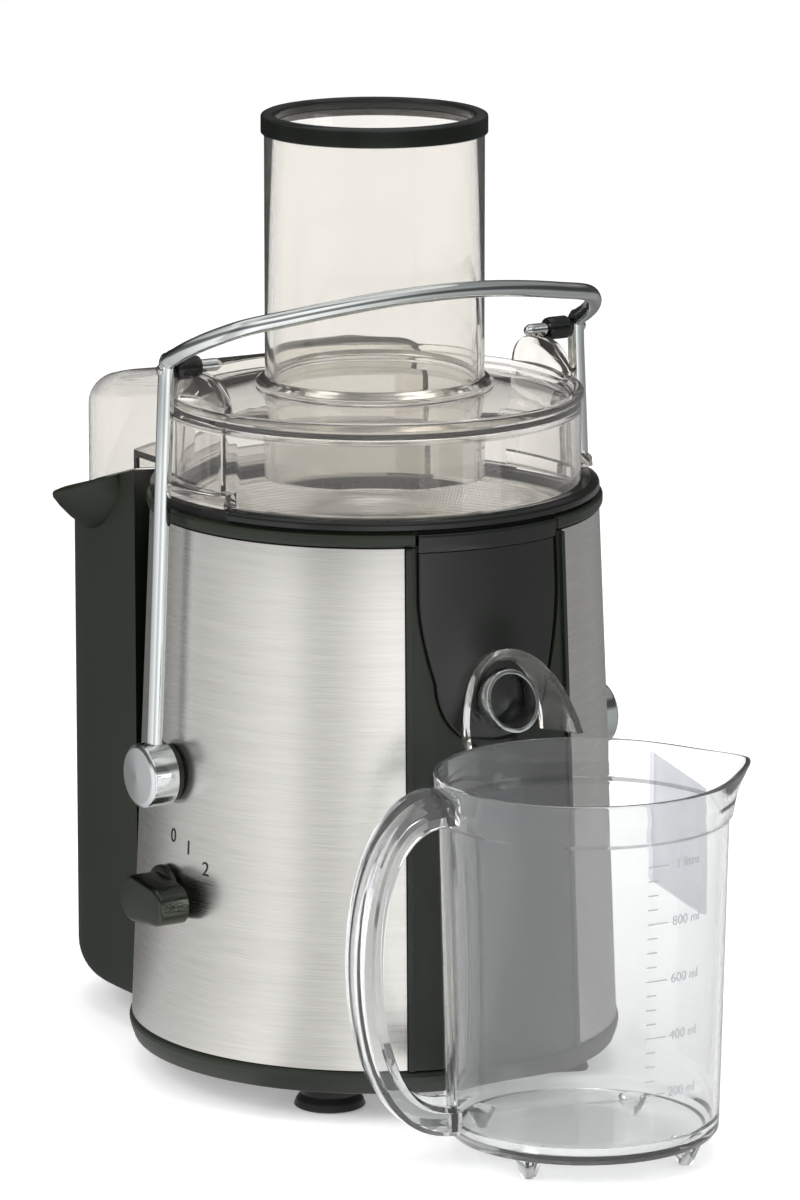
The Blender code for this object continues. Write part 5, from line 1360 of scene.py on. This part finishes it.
room_colour = add(tree, "ShaderNodeMix", {"data_type": "RGBA", "blend_type": "MULTIPLY"})
room_colour.inputs[0].default_value = 1.0
tree.links.new(walls.outputs["Color"], room_colour.inputs[6])
tree.links.new(ceiling.outputs["Color"], room_colour.inputs[7])
room_light = add(tree, "ShaderNodeBackground", Strength=0.95)
tree.links.new(room_colour.outputs[2], room_light.inputs["Color"])
backdrop = add(tree, "ShaderNodeBackground", Color=(1.0, 1.0, 1.0, 1.0), Strength=1.0)
path = add(tree, "ShaderNodeLightPath")
choose = add(tree, "ShaderNodeMixShader")
tree.links.new(path.outputs["Is Camera Ray"], choose.inputs[0])
tree.links.new(room_light.outputs[0], choose.inputs[1])
tree.links.new(backdrop.outputs[0], choose.inputs[2])
out = add(tree, "ShaderNodeOutputWorld")
tree.links.new(choose.outputs[0], out.inputs["Surface"])


def area_light(name, place, aim, size, power):
    light = bpy.data.lights.new(name, "AREA")
    light.shape = "RECTANGLE"
    light.size, light.size_y = size
    light.energy = power
    lamp = bpy.data.objects.new(name, light)
    bpy.context.scene.collection.objects.link(lamp)
    lamp.location = place
    lamp.rotation_euler = (Vector(aim) - Vector(place)).to_track_quat("-Z", "Y").to_euler()
    lamp.visible_glossy = False
    return lamp


TENT_R = 0.42
bm = bmesh.new()
steps = 96
rows = []
for radius, z in ((0.05, 0.0006), (TENT_R, 0.0006), (TENT_R, 0.9)):
    rows.append([bm.verts.new((SPINDLE.x + radius * math.cos(2 * math.pi * i / steps),
                               SPINDLE.y + radius * math.sin(2 * math.pi * i / steps), z))
                 for i in range(steps)])
for low_row, high_row in zip(rows, rows[1:]):
    for i in range(steps):
        j = (i + 1) % steps
        bm.faces.new((low_row[i], high_row[i], high_row[j], low_row[j]))
tent_mesh = bpy.data.meshes.new("reflector_tent")
bm.to_mesh(tent_mesh)
bm.free()
tent = bpy.data.objects.new("reflector_tent", tent_mesh)
bpy.context.scene.collection.objects.link(tent)
for flag in ("visible_camera", "visible_diffuse", "visible_transmission", "visible_volume_scatter",
             "visible_shadow"):
    setattr(tent, flag, False)
material, tree, shader = blank("tent_cloth")
tree.nodes.remove(shader)
place = add(tree, "ShaderNodeNewGeometry")
shift = add(tree, "ShaderNodeVectorMath", {"operation": "SUBTRACT"}, _0=(place, "Position"),
            _1=tuple(SPINDLE))
front = add(tree, "ShaderNodeVectorMath", {"operation": "DOT_PRODUCT"}, _0=(shift, 0), _1=tuple(VIEW))
aside = add(tree, "ShaderNodeVectorMath", {"operation": "DOT_PRODUCT"}, _0=(shift, 0), _1=tuple(ACROSS))
bearing = add(tree, "ShaderNodeMath", {"operation": "ARCTAN2"}, _0=(aside, "Value"), _1=(front, "Value"))
turn = add(tree, "ShaderNodeMapRange", Value=(bearing, 0), From_Min=-math.pi, From_Max=math.pi)
panels = ramp(tree, (turn, 0), [(0.0, "#767676"), (0.06, "#4c4c4c"), (0.14, "#5c5c5c"),
                                (0.19, "#7c7c7c"), (0.205, "#a0a0a0"), (0.232, "#b0b0b0"),
                                (0.288, "#bcbcbc"), (0.337, "#d0d0d0"), (0.382, "#e5e5e5"),
                                (0.404, "#e8e8e8"), (0.418, "#b9b9b9"), (0.455, "#c0c0c0"),
                                (0.4795, "#dcdcdc"), (0.507, "#f4f4f4"), (0.54, "#fcfcfc"),
                                (0.60, "#c8c8c8"), (0.66, "#a0a0a0"), (0.80, "#828282"),
                                (0.86, "#8d8d8d"), (0.93, "#6c6c6c"), (1.0, "#767676")])
parts = add(tree, "ShaderNodeSeparateXYZ", Vector=(place, "Position"))
belt = ramp(tree, (parts, "Z"), [(0.0, "#ffffff"), (0.20, "#ffffff"), (0.28, "#7c7c7c"),
                                 (0.42, "#767676"), (0.52, "#f2f2f2"), (1.0, "#ffffff")])
cloth_colour = add(tree, "ShaderNodeMix", {"data_type": "RGBA", "blend_type": "MULTIPLY"})
cloth_colour.inputs[0].default_value = 1.0
tree.links.new(panels.outputs["Color"], cloth_colour.inputs[6])
tree.links.new(belt.outputs["Color"], cloth_colour.inputs[7])
glow = add(tree, "ShaderNodeEmission", Strength=1.4)
tree.links.new(cloth_colour.outputs[2], glow.inputs["Color"])
tree.links.new(glow.outputs[0], tree.nodes["Material Output"].inputs["Surface"])
tent_mesh.materials.append(material)

middle = Vector((SPINDLE.x, SPINDLE.y, 0.18))
area_light("key", middle + VIEW * 0.9 - ACROSS * 1.1 + Vector((0, 0, 0.9)), middle, (0.9, 1.2), 14)
area_light("fill", middle + VIEW * 0.7 + ACROSS * 1.3 + Vector((0, 0, 0.5)), middle, (0.7, 1.2), 7)
area_light("top", middle + Vector((0, 0, 1.4)), middle, (1.0, 1.0), 8)

floor_mesh = bpy.data.meshes.new("floor")
floor_mesh.from_pydata([(-4, -4, -0.0002), (4, -4, -0.0002), (4, 4, -0.0002), (-4, 4, -0.0002)], [],
                       [(0, 1, 2, 3)])
floor = bpy.data.objects.new("floor", floor_mesh)
bpy.context.scene.collection.objects.link(floor)
material, tree, shader = blank("white_sweep")
set_shader(shader, Base_Color=linear("#fbfbfb"), Roughness=0.7)
set_shader(shader, Emission_Color=(1.0, 1.0, 1.0, 1.0), Emission_Strength=0.25)
floor_mesh.materials.append(material)

# %% [markdown]
# ## Camera
#
# A long lens looks from the left front, from a little above the chute's rim.

# %% Camera
camera = bpy.data.cameras.new("camera")
eye = bpy.data.objects.new("camera", camera)
bpy.context.scene.collection.objects.link(eye)
bpy.context.scene.camera = eye
camera.lens = 218.6
camera.sensor_width = 36.0
camera.sensor_fit = "AUTO"
eye.location = Vector((SPINDLE.x, SPINDLE.y, 0.784)) + VIEW * 2.767
target = Vector((SPINDLE.x, SPINDLE.y, 0.1832)) + ACROSS * 0.0098
eye.rotation_euler = (target - eye.location).to_track_quat("-Z", "Y").to_euler()
camera.clip_end = 50.0
bpy.context.scene.view_settings.view_transform = "Standard"
print("camera %.2f m from the spindle" % (eye.location - target).length)
